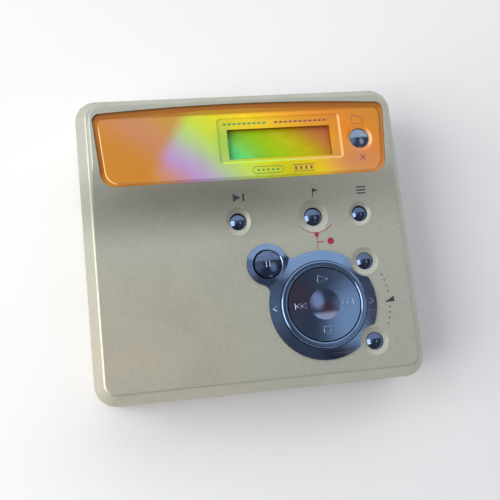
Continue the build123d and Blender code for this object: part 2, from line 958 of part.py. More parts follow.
def main_board():
    """The main circuit board, cut out round the bosses and the battery tray."""
    x1 = half_width - case_wall - part_gap
    y0 = -half_depth + case_wall + part_gap
    board = block(-x1, x1, y0, deck_rear_y - 0.4, case_board_z, case_board_top)
    ear = block(cell_right_x() + 5.0, x1, deck_rear_y - 1, 28.0, case_board_z, case_board_top)
    board = (board + ear) & prism(outline(case_wall + part_gap), 0, case_rim)
    for x, y in boss_places():
        board = board - post(x, y, case_board_z, case_board_top, boss_radius + part_gap)
    knuckle = door_knuckle_radius + part_gap
    board = board - post(door_hinge_x(), door_hinge_y(), case_board_z, case_board_top, knuckle)
    return one_solid(board)


def board_chips():
    """The larger chips and parts on the main board."""
    places = [
        (-6.0, -26.0, 12.0, 12.0, 1.1),
        (10.0, -27.0, 9.0, 9.0, 1.0),
        (24.0, -27.0, 7.0, 10.0, 1.0),
        (-16.0, 4.0, 8.0, 8.0, 1.1),
        (-4.0, 9.0, 6.0, 5.0, 0.9),
        (13.0, 9.0, 7.0, 5.0, 0.9),
        (27.0, -10.0, 6.0, 6.0, 1.6),
        (18.0, -10.0, 5.0, 5.0, 0.8),
        (-22.0, -6.0, 3.5, 6.0, 1.5),
    ]
    shape = None
    for x, y, wide, deep, high in places:
        top = case_board_top + high
        chip = block(x - wide / 2, x + wide / 2, y - deep / 2, y + deep / 2, case_board_top, top)
        shape = chip if shape is None else shape + chip
    return shape


def jack(y):
    """A 3.5 mm socket: a block on the board with a round collar through the wall."""
    inner = -half_width + jack_length
    half = jack_width / 2
    outer = -half_width + case_wall + seat_gap
    body = block(outer, inner, y - half, y + half, case_board_top, socket_z + half)
    body = fillet(body.edges().filter_by(Axis.X).group_by(Axis.Z)[-1], 0.6)
    collar = bar_x(-half_width + 0.05, -half_width + case_wall + 1, y, socket_z, jack_collar)
    mouth = bar_x(-half_width, inner - 1.0, y, socket_z, jack_bore)
    return one_solid(body + collar - mouth)


def supply_z():
    return case_board_top + supply_width / 2


def supply_socket():
    """The power socket with its centre pin."""
    inner = half_width - supply_length
    wall = half_width - case_wall
    half = supply_width / 2
    z = supply_z()
    body = block(inner, wall - seat_gap, supply_y - half, supply_y + half, z - half, z + half)
    collar = bar_x(wall - 1, half_width - 0.05, supply_y, z, half - 2 * seat_gap)
    bore = bar_x(inner + 1.0, half_width, supply_y, z, supply_bore)
    pin = bar_x(inner + 0.5, half_width - 1.2, supply_y, z, supply_pin)
    return one_solid(body + collar - bore + pin)


def usb_socket():
    """The small five-pin data socket: shell and tongue."""
    x1 = half_width - 0.1
    x0 = x1 - usb_length
    half = usb_width / 2
    low = case_board_top
    high = low + usb_height
    shell = block(x0, x1, usb_y - half, usb_y + half, low, high)
    shell = chamfer(shell.edges().filter_by(Axis.X).group_by(Axis.Z)[0], 0.7)
    inner = half - usb_shell
    hollow = block(x0 + 1.5, x1, usb_y - inner, usb_y + inner, low + usb_shell, high - usb_shell)
    hollow = chamfer(hollow.edges().filter_by(Axis.X).group_by(Axis.Z)[0], 0.7)
    middle = (low + high) / 2
    tongue = block(x0 + 1, x1 - 1.5, usb_y - 1.9, usb_y + 1.9, middle + 0.1, middle + 0.7)
    return one_solid(shell - hollow + tongue)


def ribbed(face, ribs):
    """Cuts finger grooves into a slider's knob."""
    for rib in ribs:
        face = face - rib
    return face


def slider_levels():
    """Lower and upper edge of a slider's knob, and of its plate."""
    half = open_height / 2
    return slider_z - half, slider_z + half


def open_slider():
    """The OPEN slider: a ribbed knob, its plate inside and the latch post."""
    low, high = slider_levels()
    y0 = open_y - open_length / 2
    y1 = open_y + open_length / 2
    outer = half_width - 0.05
    inner = half_width - case_wall - seat_gap
    knob = block(inner, outer, y0, y1, low, high)
    ribs = [post(outer, y0 + 1.0 + 1.2 * step, low - 1, high + 1, 0.3) for step in range(6)]
    knob = ribbed(knob, ribs)
    x0 = inner - slider_plate
    along = open_travel + slider_cover
    plate = block(x0, inner, y0 - along, y1 + along, low - slider_rim, high + slider_rim)
    nose_top = lid_bottom + 1.6
    latch = block(x0, inner, y0 - slider_rim, y0 + 1.2, high, nose_top)
    nose = block(x0, inner, y0 - slider_rim, y0 + 2.0, nose_top - 0.8, nose_top)
    return one_solid(knob + plate + latch + nose)


def hold_slider():
    """The HOLD slider: a ribbed knob and its plate inside."""
    low, high = slider_levels()
    x0 = hold_x - hold_length / 2
    x1 = hold_x + hold_length / 2
    outer = -half_depth + 0.05
    inner = -half_depth + case_wall + seat_gap
    knob = block(x0, x1, outer, inner, low, high)
    ribs = [post(x0 + 1.1 + 1.2 * step, outer, low - 1, high + 1, 0.3) for step in range(5)]
    knob = ribbed(knob, ribs)
    along = hold_travel + slider_cover
    rear = inner + slider_plate
    plate = block(x0 - along, x1 + along, inner, rear, low - slider_rim, high + slider_rim)
    return one_solid(knob + plate)


# ---------------------------------------------------------------- battery compartment

def cell_left_x():
    return -half_width + door_wall + door_contact + 0.2


def cell_right_x():
    return cell_left_x() + cell_length


def tray_left_x():
    return -half_width + case_wall + 0.75


def tray_right_x():
    return cell_right_x() + spring_length + tray_wall


def battery_tray():
    """The trough that the cell lies in, with its end wall."""
    outer = bar_x(tray_left_x(), tray_right_x(), cell_y, cell_z, bore_radius + tray_wall)
    level = block(-half_width, half_width, 0, half_depth, case_top_of_floor, tray_top)
    foot = block(tray_left_x(), tray_right_x(), cell_y - 5, cell_y + 5, case_top_of_floor, cell_z)
    tray = (outer + foot) & level
    inner = bar_x(tray_left_x(), tray_right_x() - tray_wall, cell_y, cell_z, bore_radius)
    tray = tray - inner
    rear = -half_depth
    keep = block(-half_width, half_width, rear, half_depth - case_wall - seat_gap, 0, body_height)
    return one_solid(tray & keep)


def battery_spring():
    """The coil that presses on the cell's flat end."""
    x0 = tray_right_x() - tray_wall
    pitch = (spring_length - 2 * spring_wire) / spring_turns
    path = Helix(pitch, pitch * spring_turns, spring_radius)
    start = path @ 0
    ring = Plane(origin=start, z_dir=path % 0) * Circle(spring_wire)
    coil = sweep(ring, path=path)
    return Pos(x0 - spring_wire - seat_gap / 2, cell_y, cell_z) * Rot(0, -90, 0) * coil


def battery_door():
    """The side door, with two knuckles at its front edge."""
    x, y = door_hinge_x(), door_hinge_y()
    panel = case_outside() & door_opening(0.0)
    panel = panel - post(x, y, 0, body_height, door_knuckle_radius + part_gap)
    barrel = None
    for z0, z1 in door_knuckle_levels():
        knuckle = post(x, y, z0, z1, door_knuckle_radius)
        leaf = block(-half_width + 0.0, -half_width + door_wall, y, y + 2.0, z0, z1)
        both = knuckle + leaf
        barrel = both if barrel is None else barrel + both
    return one_solid(panel + barrel - post(x, y, 0, body_height, door_pin_radius + running_fit))


def door_contact_plate():
    """The metal contact on the inside of the door."""
    x0 = -half_width + door_wall
    plate = block(x0, x0 + door_contact, cell_y - 4, cell_y + 4, cell_z - 3, cell_z + 3)
    return fillet(plate.edges().filter_by(Axis.X), 1.0)


def door_pin():
    """The pin through the door's hinge."""
    levels = door_knuckle_levels()
    return post(door_hinge_x(), door_hinge_y(), levels[0][0] + 0.1, levels[1][1] - 0.1, door_pin_radius)


# ---------------------------------------------------------------- lid

def pod_turn():
    """The angle that the lid's surface turns through in the cove, and back again at the brow."""
    return 2 * atan2(body_height - face_level, pod_top_y - cove_front_y)


def cove_at(y):
    """Level and slope of the cove at a depth; level and flat in front of it."""
    run = max(0.0, min(y, cove_rear_y) - cove_front_y)
    radius = (cove_rear_y - cove_front_y) / sin(pod_turn())
    slope = asin(run / radius)
    return face_level + radius * (1 - cos(slope)), slope


def pod_profile():
    """The raised pod from the side: flat face, cove, rounded brow and top."""
    turn = pod_turn()
    cove_radius = (cove_rear_y - cove_front_y) / sin(turn)
    brow_turn_radius = (pod_top_y - cove_rear_y) / sin(turn)
    rear_level, slope = cove_at(cove_rear_y)
    half_sine = sin(turn / 2)
    half_rise = 1 - cos(turn / 2)
    low = face_level - 1.5
    cove = ThreePointArc(
        (cove_front_y, face_level),
        (cove_front_y + cove_radius * half_sine, face_level + cove_radius * half_rise),
        (cove_rear_y, rear_level),
    )
    brow = ThreePointArc(
        (cove_rear_y, rear_level),
        (pod_top_y - brow_turn_radius * half_sine, body_height - brow_turn_radius * half_rise),
        (pod_top_y, body_height),
    )
    rest = Polyline(
        (pod_top_y, body_height),
        (half_depth, body_height),
        (half_depth, low),
        (cove_front_y, low),
        (cove_front_y, face_level),
    )
    return make_face([cove, brow, *rest.edges()])


def pod_block():
    """The pod: its side profile drawn across the lid, within leaning sides."""
    side = Plane.YZ * pod_profile()
    across = extrude(side, half_width, both=True)
    inset = bevel_width + pod_base_inset
    width = body_width - 2 * inset
    depth = body_depth - 2 * inset
    base = RectangleRounded(width, depth, corner_radius - 1.5)
    top = prism(base, face_level, body_height, pod_side_lean)
    upper = top.edges().group_by(Axis.Z)[-1]
    top = fillet(upper, pod_edge_radius)
    root = prism(base, face_level - 1.5, face_level)
    return across & (top + root)


def lid_prism(inset, z0, z1, top):
    """The lid's bevelled form, drawn in by a wall."""
    lean = degrees(atan2(bevel_width, bevel_height))
    upright = prism(outline(inset), z0, z1)
    return upright + prism(outline(inset), z1, top, lean)


def barrel_trim():
    """What is left of the lid below and behind the hinge line: a quarter barrel."""
    corner = block(-half_width, half_width, hinge_y, half_depth, lid_bottom, hinge_z)
    barrel = bar_x(-half_width, half_width, hinge_y, hinge_z, hinge_radius)
    return corner - barrel


def lid_outside():
    front = lid_prism(0, lid_bottom, brow_level, face_level)
    fold = front.edges().group_by(Axis.Z)[-1]
    front = fillet(fold, fold_radius)
    brow = [e for e in front.edges() if lies_at(e, brow_level)]
    front = fillet(brow, brow_radius)
    return front + pod_block() - barrel_trim()


def lies_at(edge, level):
    """True for an edge that lies flat at a level."""
    box = edge.bounding_box()
    return abs(box.min.Z - level) < 0.01 and abs(box.max.Z - level) < 0.01


def lid_inside():
    """The hollow of the lid, with the lens seat and the rear wall's barrel left."""
    inner_brow = brow_level - 0.3
    hollow = lid_prism(lid_wall, lid_bottom - 1, inner_brow, roof_underside)
    across = half_width - lid_wall
    sides = block(-across, across, hinge_y, half_depth, 0, hinge_z)
    kept = sides - bar_x(-half_width, half_width, hinge_y, hinge_z, hinge_radius - barrel_wall)
    end = radians(barrel_end_angle)
    cut = block(
        -half_width,
        half_width,
        hinge_y - 1,
        hinge_y + hinge_radius * cos(end),
        0,
        hinge_z - (hinge_radius - barrel_wall) * sin(end),
    )
    return hollow - (kept - cut)


def lens_shape(side=0.0, rear=0.0, front=0.0, grow=0.0):
    """The lens outline: wider at the rear, with a bowed rear edge."""
    lean = (lens_top_half - lens_bottom_half) / (lens_rear_y - lens_front_y)
    y0 = lens_front_y + front - grow
    y1 = lens_rear_y - rear + grow
    x0 = lens_bottom_half - side + grow + lean * (y0 - lens_front_y)
    x1 = lens_bottom_half - side + grow + lean * (y1 - lens_front_y)
    crown = ThreePointArc((x1, y1), (0, y1 + lens_crown), (-x1, y1))
    rest = Polyline((-x1, y1), (-x0, y0), (x0, y0), (x1, y1))
    face = make_face([crown, *rest.edges()])
    front_corners = face.vertices().sort_by(Axis.Y)[:2]
    face = fillet(front_corners, lens_front_corner + grow)
    corners = [v for v in face.vertices() if v.Y > y1 - 0.01 and abs(v.X) > x1 - 0.01]
    return fillet(corners, lens_rear_corner + grow)


def dish_cut(x, y, top, radius, depth, slope=0.0):
    """A shallow round hollow, as if pressed with a ball, square to a surface that slopes."""
    ball = (radius * radius + depth * depth) / (2 * depth)
    away = ball - depth
    return Pos(x, y - away * sin(slope), top + away * cos(slope)) * Sphere(ball)


def face_buttons():
    """Face buttons: name, place, radius and dish radius."""
    return [
        ("end_button", end_x, row_y, end_radius, end_dish),
        ("mark_button", mark_x, row_y, mark_radius, mark_dish),
        ("menu_button", menu_x, row_y, menu_radius, menu_dish),
        ("volume_up_button", volume_x, volume_up_y, volume_radius, volume_dish),
        ("volume_down_button", volume_x, volume_down_y, volume_radius, volume_dish),
    ]


def bezel_shape(grow=0.0):
    """The bezel's outline: the dial's circle, the lobe and two scallops."""
    dial = Pos(dial_x, dial_y) * Circle(bezel_radius + grow)
    lobe = Pos(pause_x, pause_y) * Circle(lobe_radius + grow)
    shape = dial + lobe
    necks = shape.vertices()
    necks = [v for v in necks if is_neck(v)]
    shape = fillet(necks, bezel_neck_radius - grow)
    for y in (volume_up_y, volume_down_y):
        shape = shape - Pos(volume_x, y) * Circle(scallop_radius - grow)
    corners = [v for v in shape.vertices() if is_scallop_corner(v, grow)]
    return fillet(corners, bezel_corner_radius)


def is_neck(vertex):
    """True where the lobe meets the dial's circle."""
    to_dial = sqrt((vertex.X - dial_x) ** 2 + (vertex.Y - dial_y) ** 2)
    to_lobe = sqrt((vertex.X - pause_x) ** 2 + (vertex.Y - pause_y) ** 2)
    return abs(to_dial - bezel_radius) < 1.0 and abs(to_lobe - lobe_radius) < 1.0


def is_scallop_corner(vertex, grow):
    """True where a scallop meets the dial's circle."""
    for y in (volume_up_y, volume_down_y):
        reach = sqrt((vertex.X - volume_x) ** 2 + (vertex.Y - y) ** 2)
        if abs(reach - scallop_radius + grow) < 0.01:
            return True
    return False


def lid_shell():
    body = lid_outside() - lid_inside()
    wall = half_width - lid_wall
    boss = bar_x(tower_outer + part_gap - seat_gap / 2, wall, hinge_y, hinge_z, hinge_boss_radius)
    lid_space = bar_x(-half_width, half_width, hinge_y, hinge_z, hinge_radius)
    body = body + (both_sides(boss) & lid_space)
    end = half_width - hinge_pin_inset + seat_gap / 2
    hole = bar_x(tower_outer, end, hinge_y, hinge_z, hinge_pin_radius + running_fit)
    body = body - both_sides(hole)
    ear_room = hinge_ear_radius + 2 * seat_gap
    room = bar_x(holder_inner - part_gap, tower_outer + part_gap - seat_gap, hinge_y, hinge_z, ear_room)
    body = body - both_sides(room)
    end = radians(barrel_end_angle)
    trim_rear = hinge_y + hinge_radius * cos(end)
    trim_top = hinge_z - (hinge_radius - barrel_wall) * sin(end)
    x0 = tower_inner - part_gap
    x1 = tower_outer + part_gap
    body = body - both_sides(block(x0, x1, hinge_y - 1, trim_rear, lid_bottom - 1, trim_top))
    lens_floor = body_height - lens_drop - lens_step - lens_edge_thickness
    body = body - prism(lens_shape(grow=seat_gap / 2), lens_floor, body_height + 1)
    body = body - prism(lens_shape(grow=-lens_seat), roof_underside - 1, body_height)
    for name, x, y, radius, dish in face_buttons():
        level, slope = cove_at(y)
        body = body - dish_cut(x, y, level, dish, dish_depth, slope)
        body = body - post(x, y, roof_underside - 1, face_level + 1, radius + button_play)
    body = body - prism(bezel_shape(seat_gap / 2), face_level - bezel_sink, face_level + 1)
    body = body - post(dial_x, dial_y, roof_underside - 1, face_level + 1, bezel_inner_radius)
    pause_hole = pause_radius + button_play
    body = body - post(pause_x, pause_y, roof_underside - 1, face_level + 1, pause_hole)
    for x, y in lid_screw_places():
        stud = post(x, y, board_top, roof_underside + 0.2, 1.5)
        body = body + stud - post(x, y, board_top - 1, roof_underside + 0.3, screw_radius)
    catch_y = open_y - open_length / 2 + 3.2
    catch = block(wall - 0.7, wall + 0.2, catch_y, catch_y + 2.0, lid_bottom, lid_bottom + 0.9)
    body = body + catch
    return one_solid(body)


def lid_screw_places():
    """Where the lid's board is screwed to its studs."""
    left = dial_x - lid_screw_reach
    right = half_width - lid_screw_inset
    front = -half_depth + lid_screw_front
    return [
        (left, row_y - lid_screw_row_gap),
        (left, dial_y - 11.8),
        (right, row_y + 4.15),
        (right - 0.2, front),
    ]


def lid_screws():
    """Small flat screws that hold the board under the lid."""
    shape = None
    for x, y in lid_screw_places():
        head = post(x, y, board_bottom - 0.15, board_bottom, 1.3)
        shank = post(x, y, board_bottom, roof_underside, screw_radius)
        slot = block(x - 0.9, x + 0.9, y - 0.12, y + 0.12, board_bottom - 0.3, board_bottom - 0.08)
        screw = head + shank - slot
        shape = screw if shape is None else shape + screw
    return shape


def key_board():
    """The board under the keys and the display."""
    left = dial_x - lid_screw_reach - 2.5
    right = half_width - key_board_inset
    front_y = -half_depth + lid_screw_front - 1.7
    join_y = row_y + 6.15
    front = block(left, right, front_y, join_y, board_bottom, board_top)
    rear = block(left - 4.0, right, join_y - 1.0, lens_rear_y - 2.3, board_bottom, board_top)
    board = front + rear
    for x, y in lid_screw_places():
        board = board - post(x, y, board_bottom, board_top, screw_radius)
    return one_solid(board)


def key_places():
    """Every key's centre on the board, the dial's four points included."""
    places = [(x, y) for name, x, y, radius, dish in face_buttons()]
    places = places + [(pause_x, pause_y), (group_x, group_y)]
    return places + tilt_key_places()


def tilt_key_places():
    """The four domes round the dial's middle."""
    reach = tilt_plate_radius - 1.4
    turns = [radians(angle) for angle in range(0, 360, 90)]
    return [(dial_x + reach * cos(turn), dial_y + reach * sin(turn)) for turn in turns]


def key_domes():
    """Metal snap domes under the keys."""
    shape = None
    for x, y in key_places():
        dome = post(x, y, board_top, board_top + dome_height, dome_radius)
        shape = dome if shape is None else shape + dome
    return shape


def crowned_button(x, y, radius, top, crown, base):
    """A round cap with a domed top and a flange under the shell."""
    ball = (radius * radius + crown * crown) / (2 * crown)
    cap = post(x, y, base, top, radius)
    cap = cap & (Pos(x, y, top - ball) * Sphere(ball))
    flange_top = roof_underside - seat_gap
    flange = post(x, y, flange_top - button_flange_height, flange_top, radius + button_flange)
    column = post(x, y, base, flange_top, radius)
    return cap + flange + column


def button_foot():
    """How low a key's stem reaches at rest, just above its dome."""
    return board_top + dome_height + button_travel + 0.05


def face_button(x, y, radius):
    top = face_level + button_proud
    return one_solid(crowned_button(x, y, radius, top, 0.75, button_foot()))


def pause_button():
    top = face_level + bezel_height + button_proud
    return one_solid(crowned_button(pause_x, pause_y, pause_radius, top, 0.6, button_foot()))


def group_button():
    """The key in the display lens, on a long stem."""
    top = body_height - lens_drop + 0.1
    lens_floor = body_height - lens_drop - lens_step - lens_edge_thickness
    x, y = group_x, group_y
    crown = 0.55
    ball = (group_radius**2 + crown**2) / (2 * crown)
    cap = post(x, y, lens_floor - 0.5, top, group_radius) & (Pos(x, y, top - ball) * Sphere(ball))
    flange = post(x, y, lens_floor - 0.6, lens_floor - 0.25, group_radius + button_flange)
    stem = post(x, y, button_foot(), lens_floor - 0.4, stem_radius)
    return one_solid(cap + flange + stem)


def sloping_disc(x, y, outer, inner, top):
    """A low cone: full height within the inner radius, the rim's height at the outer one."""
    low = -bezel_sink
    spread = (outer - inner) / (top - bezel_rim_height)
    base = inner + (top - low) * spread
    z = face_level + (low + top) / 2
    return Pos(x, y, z) * Cone(base, inner, top - low)


def bezel_slope():
    return sloping_disc(dial_x, dial_y, bezel_radius, bezel_inner_radius, bezel_height)


def lobe_slope():
    return sloping_disc(pause_x, pause_y, lobe_radius, pause_radius + 0.5, lobe_height)


def dial_bezel():
    """The dark bezel round the dial and the pause key."""
    z0 = face_level - bezel_sink
    z1 = face_level + bezel_height
    rim = prism(bezel_shape(), z0, z1) & (bezel_slope() + lobe_slope())
    rim = rim - post(dial_x, dial_y, z0, z1, bezel_inner_radius)
    rim = rim - post(pause_x, pause_y, z0, z1, pause_radius + button_play)
    sink_z = face_level + lobe_height
    sink = Pos(pause_x, pause_y, sink_z) * Cone(pause_radius + 0.05, pause_radius + 0.9, 0.8)
    rim = rim - sink
    return one_solid(rim)


def jog_ring():
    """The ring that turns round the four-way disc, held down by its flange."""
    z0 = board_top + 0.35
    z1 = face_level + ring_height
    ring = post(dial_x, dial_y, z0 + 0.4, z1, ring_outer_radius)
    ring = ring - post(dial_x, dial_y, z0, z1, ring_inner_radius)
    top = [e for e in ring.edges() if abs(e.center().Z - z1) < 0.01]
    ring = fillet(top, 0.5)
    skirt = post(dial_x, dial_y, z0, z0 + 0.4, ring_outer_radius + ring_flange)
    skirt = skirt - post(dial_x, dial_y, z0, z0 + 0.4, ring_inner_radius)
    return one_solid(ring + skirt)


def tilt_z():
    """Level of the four-way disc's tilting axes."""
    return face_level - 0.9


def tilt_ball_z():
    """Level of the ball that the rocking plate turns on."""
    return tilt_z() - tilt_plate_thickness / 2 - 0.2


def tilt_post():
    """The post with a ball end that stands on the board."""
    column = post(dial_x, dial_y, board_top, tilt_ball_z(), tilt_ball_radius)
    return column + Pos(dial_x, dial_y, tilt_ball_z()) * Sphere(tilt_ball_radius)


def tilt_plate():
    """The rocking plate under the disc, with four feet over the domes."""
    half = tilt_plate_thickness / 2
    plate = post(dial_x, dial_y, tilt_z() - half, tilt_z() + half, tilt_plate_radius)
    foot_z = board_top + dome_height + 0.18
    for x, y in tilt_key_places():
        plate = plate + post(x, y, foot_z, tilt_z(), 0.5)
    socket = Pos(dial_x, dial_y, tilt_ball_z()) * Sphere(tilt_ball_radius + seat_gap)
    return one_solid(plate - socket)


def disc_stem_z():
    """The foot of the disc's stem, just above the rocking plate."""
    return tilt_z() + tilt_plate_thickness / 2 + seat_gap


def four_way_disc():
    """The disc that is pressed at its edge, with a dished middle."""
    edge = face_level + disc_edge_height
    base = edge - disc_thickness
    top = edge + disc_crown
    ball = (disc_radius**2 + disc_crown**2) / (2 * disc_crown)
    disc = post(dial_x, dial_y, base, top, disc_radius)
    disc = disc & (Pos(dial_x, dial_y, top - ball) * Sphere(ball))
    disc = disc - dish_cut(dial_x, dial_y, top - 0.03, disc_dish_radius, disc_dish_depth)
    low_rim = disc.edges().group_by(Axis.Z)[0]
    disc = chamfer(low_rim, 0.25)
    stem = post(dial_x, dial_y, disc_stem_z(), base, 2.0)
    return one_solid(disc + stem)


def display_lens():
    """The tinted lens: a plate with a raised field, the key's hole and its dish."""
    z_top = body_height - lens_drop
    z_step = z_top - lens_step
    z0 = z_step - lens_edge_thickness
    plate = prism(lens_shape(), z0, z_step)
    field_shape = lens_shape(side=lens_side_ledge, rear=lens_rear_ledge, front=0.35)
    field = prism(field_shape, z_step, z_top)
    field = chamfer(field.edges().group_by(Axis.Z)[-1], 0.3)
    lens = plate + field
    lens = lens - dish_cut(group_x, group_y, z_top, group_dish, dish_depth)
    lens = lens - display_frame(z_top)
    return one_solid(lens - post(group_x, group_y, z0, z_top, group_radius + button_play))


def display_frame(z_top):
    """The shallow pocket with sloping sides in the lens, round the display."""
    place = Pos((frame_left + frame_right) / 2, (frame_front + frame_rear) / 2)
    shape = RectangleRounded(frame_right - frame_left, frame_rear - frame_front, frame_corner)
    return prism(place * shape, z_top - frame_depth, z_top + frame_depth, -frame_lean)


def display_backing():
    """The bright sheet behind the lens, with the display's window."""
    z1 = body_height - lens_drop - lens_step - lens_edge_thickness - seat_gap / 2
    z0 = z1 - backing_thickness
    sheet = prism(lens_shape(grow=-lens_seat - seat_gap), z0, z1)
    hole_x = display_width / 2
    hole_y = display_depth / 2
    window = block(
        display_x - hole_x, display_x + hole_x, display_y - hole_y, display_y + hole_y, z0, z1)
    window = fillet(window.edges().filter_by(Axis.Z), 0.5)
    around = post(group_x, group_y, z0, z1, group_radius + button_flange + part_gap)
    return one_solid(sheet - window - around)


def display_module():
    """The liquid crystal panel with its glass and its holder."""
    z1 = body_height - lens_drop - lens_step - lens_edge_thickness - seat_gap / 2
    z1 = z1 - backing_thickness
    z0 = z1 - display_thickness
    hx = display_width / 2 + display_border
    hy = display_depth / 2 + display_border / 2
    panel = block(display_x - hx, display_x + hx, display_y - hy, display_y + hy, z0, z1)
    panel = fillet(panel.edges().filter_by(Axis.Z), 0.4)
    pads = None
    for sx in (-1, 1):
        px = display_x + sx * (hx - 1.2)
        pad = block(px - 1.0, px + 1.0, display_y - hy + 0.3, display_y + hy - 0.3, board_top, z0)
        pads = pad if pads is None else pads + pad
    return one_solid(panel + pads)


# ---------------------------------------------------------------- disc holder

def disc_holder():
    """The sheet steel holder that a disc slides into from the front."""
    rear_y = disc_case_rear + 0.05
    top = block(-holder_outer, holder_outer, holder_front_y, rear_y, slot_top, holder_top)
    side = block(holder_inner, holder_outer, holder_front_y, rear_y, holder_bottom, holder_top)
    flange = block(
        disc_case_width / 2 - holder_flange,
        holder_outer,
        holder_front_y,
        tower_front_y(),
        holder_bottom,
        slot_bottom,
    )
    neck = block(holder_inner, holder_outer, rear_y - 3, hinge_y, hinge_z - 1.4, hinge_z + 1.4)
    ear = bar_x(holder_inner, holder_outer, hinge_y, hinge_z, hinge_ear_radius)
    hole = bar_x(holder_inner, holder_outer, hinge_y, hinge_z, hinge_pin_radius + running_fit)
    shape = top + both_sides(side + flange + neck + ear - hole) - both_sides(hole)
    stop = block(-30.0, -8.0, rear_y, rear_y + holder_sheet, slot_bottom + 1.0, holder_top)
    window = block(
        holder_window_left,
        holder_window_right,
        holder_window_front_y,
        holder_window_open_y + 0.1,
        slot_top,
        holder_top,
    )
    open_rear = block(
        holder_window_left, holder_inner, holder_window_open_y, rear_y + 1, slot_top - 0.1, holder_top)
    shape = shape + stop - window - open_rear
    for x in (-22.0, 0.0):
        slot = block(x - 5, x + 5, -18.0, -14.0, slot_top, holder_top)
        shape = shape - fillet(slot.edges().filter_by(Axis.Z), 1.5)
    return one_solid(shape)


def tower_front_y():
    """Where the hinge towers begin: the holder's flanges stop before them."""
    return hinge_y - tower_neck - tower_depth - part_gap


# ---------------------------------------------------------------- every node

def build():
    """Makes and writes every piece."""
    save(lower_case(), "lower_case")
    save(feet(), "rubber_feet")
    save(case_screws(), "case_screws")
    save(hinge_pins(), "hinge_pins")
    save(strap_bar(), "strap_bar")
    save(deck(), "mechanism_deck")
    save(deck_screws(), "deck_screws")
    save(guide_rods(), "guide_rods")
    save(spindle_stator(), "spindle_stator")
    save(spindle_rotor(), "spindle_rotor")
    save(turntable(), "turntable")
    save(optical_sled(), "optical_sled")
    save(lens_holder(), "lens_holder")
    save(objective_lens(), "objective_lens")
    save(arm_pin(), "arm_pin")
    save(head_arm(), "head_arm")
    save(magnetic_head(), "magnetic_head")
    save(lead_screw(), "lead_screw")
    save(screw_gear(), "screw_gear")
    save(motor_pinion(), "motor_pinion")
    save(sled_motor(), "sled_motor")
    save(main_board(), "main_board")
    save(board_chips(), "board_chips")
    save(jack(phones_y), "phones_jack")
    save(jack(line_y), "line_jack")
    save(supply_socket(), "supply_socket")
    save(usb_socket(), "usb_socket")
    save(open_slider(), "open_slider")
    save(hold_slider(), "hold_slider")
    save(battery_tray(), "battery_tray")
    save(battery_spring(), "battery_spring")
    save(battery_door(), "battery_door")
    save(door_contact_plate(), "door_contact")
    save(door_pin(), "door_pin")
    save(lid_shell(), "lid_shell")
    save(lid_screws(), "lid_screws")
    save(key_board(), "key_board")
    save(key_domes(), "key_domes")
    for name, x, y, radius, dish in face_buttons():
        save(face_button(x, y, radius), name)
    save(pause_button(), "pause_button")
    save(group_button(), "group_button")
    save(dial_bezel(), "dial_bezel")
    save(jog_ring(), "jog_ring")
    save(tilt_post(), "tilt_post")
    save(tilt_plate(), "tilt_plate")
    save(four_way_disc(), "four_way_disc")
    save(display_lens(), "display_lens")
    save(display_backing(), "display_backing")
    save(display_module(), "display_module")
    save(disc_holder(), "disc_holder")


build()
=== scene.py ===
"""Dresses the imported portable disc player: finishes, printed marks and a plain studio."""

from math import cos, radians, sin, sqrt

import bmesh
import bpy
from bpy.props import FloatProperty, FloatVectorProperty, PointerProperty
from mathutils import Matrix, Quaternion, Vector


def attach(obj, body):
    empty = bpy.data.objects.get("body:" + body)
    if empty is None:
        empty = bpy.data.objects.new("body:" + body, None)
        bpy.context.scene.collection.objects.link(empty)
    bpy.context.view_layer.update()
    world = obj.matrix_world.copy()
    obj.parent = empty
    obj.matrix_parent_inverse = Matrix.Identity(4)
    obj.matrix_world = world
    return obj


bl_info = {
    "name": "Portable Disc Player Dressing",
    "version": (1, 0, 0),
    "blender": (4, 5, 0),
    "location": "View3D > Sidebar > Player",
    "description": "Finishes, printed marks and a plain studio for the portable disc player",
    "category": "Object",
}

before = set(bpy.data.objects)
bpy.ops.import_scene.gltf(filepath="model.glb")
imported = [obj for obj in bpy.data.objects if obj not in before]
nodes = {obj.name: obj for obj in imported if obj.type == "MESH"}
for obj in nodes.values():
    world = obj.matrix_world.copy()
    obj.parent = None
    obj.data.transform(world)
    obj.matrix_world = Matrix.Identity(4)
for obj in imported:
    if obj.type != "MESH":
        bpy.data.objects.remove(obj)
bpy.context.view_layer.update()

MM = 0.001

# Levels and places on the player, in millimetres.
FACE_LEVEL = 25.4
LENS_LEVEL = 28.0
FRAME_FLOOR = 27.75
LEDGE_LEVEL = 27.4
COVE_FRONT = -0.2
COVE_RUN = 12.7
COVE_RISE = 1.7145
DIAL = (15.65, -18.2)
DISC_EDGE_LEVEL = 26.4
DISC_RADIUS = 8.95
DISC_CROWN = 0.35
DISC_BALL = (DISC_RADIUS**2 + DISC_CROWN**2) / (2 * DISC_CROWN)
BEZEL_RADIUS = 13.4
BEZEL_INNER_RADIUS = 10.85
BEZEL_RIM_LEVEL = 25.75
BEZEL_TOP_LEVEL = 26.15
PAUSE = (2.9, -7.3)
PAUSE_TOP_LEVEL = 26.6
PAUSE_BALL = 9.1
WINDOW = (8.9, 22.7)
WINDOW_HALF = (13.1, 3.9)
POCKET = (9.15, 23.6)
POCKET_HALF = (15.45, 5.6)
CASE_WIDTH = 81.0
CASE_DEPTH = 74.7

# Soft patches: centre and reach, in millimetres.
WARMER_FRONT_LEFT = ((-30, -26, 25), (46, 34, 30))
# COVE_SHADE: painted shade, darker paint in the lid's cove below the lens.
COVE_SHADE = ((-10, 10.5, 26), (62, 13, 20))
# Painted reflection on the objective's coating.
COATING_REFLECTION = ((14.5, -1.6, 15), (2.2, 2.2, 4))
# Painted shade on the floor away from the window.
FLOOR_SHADE_PATCH = ((190, -170, 0), (330, 300, 400))
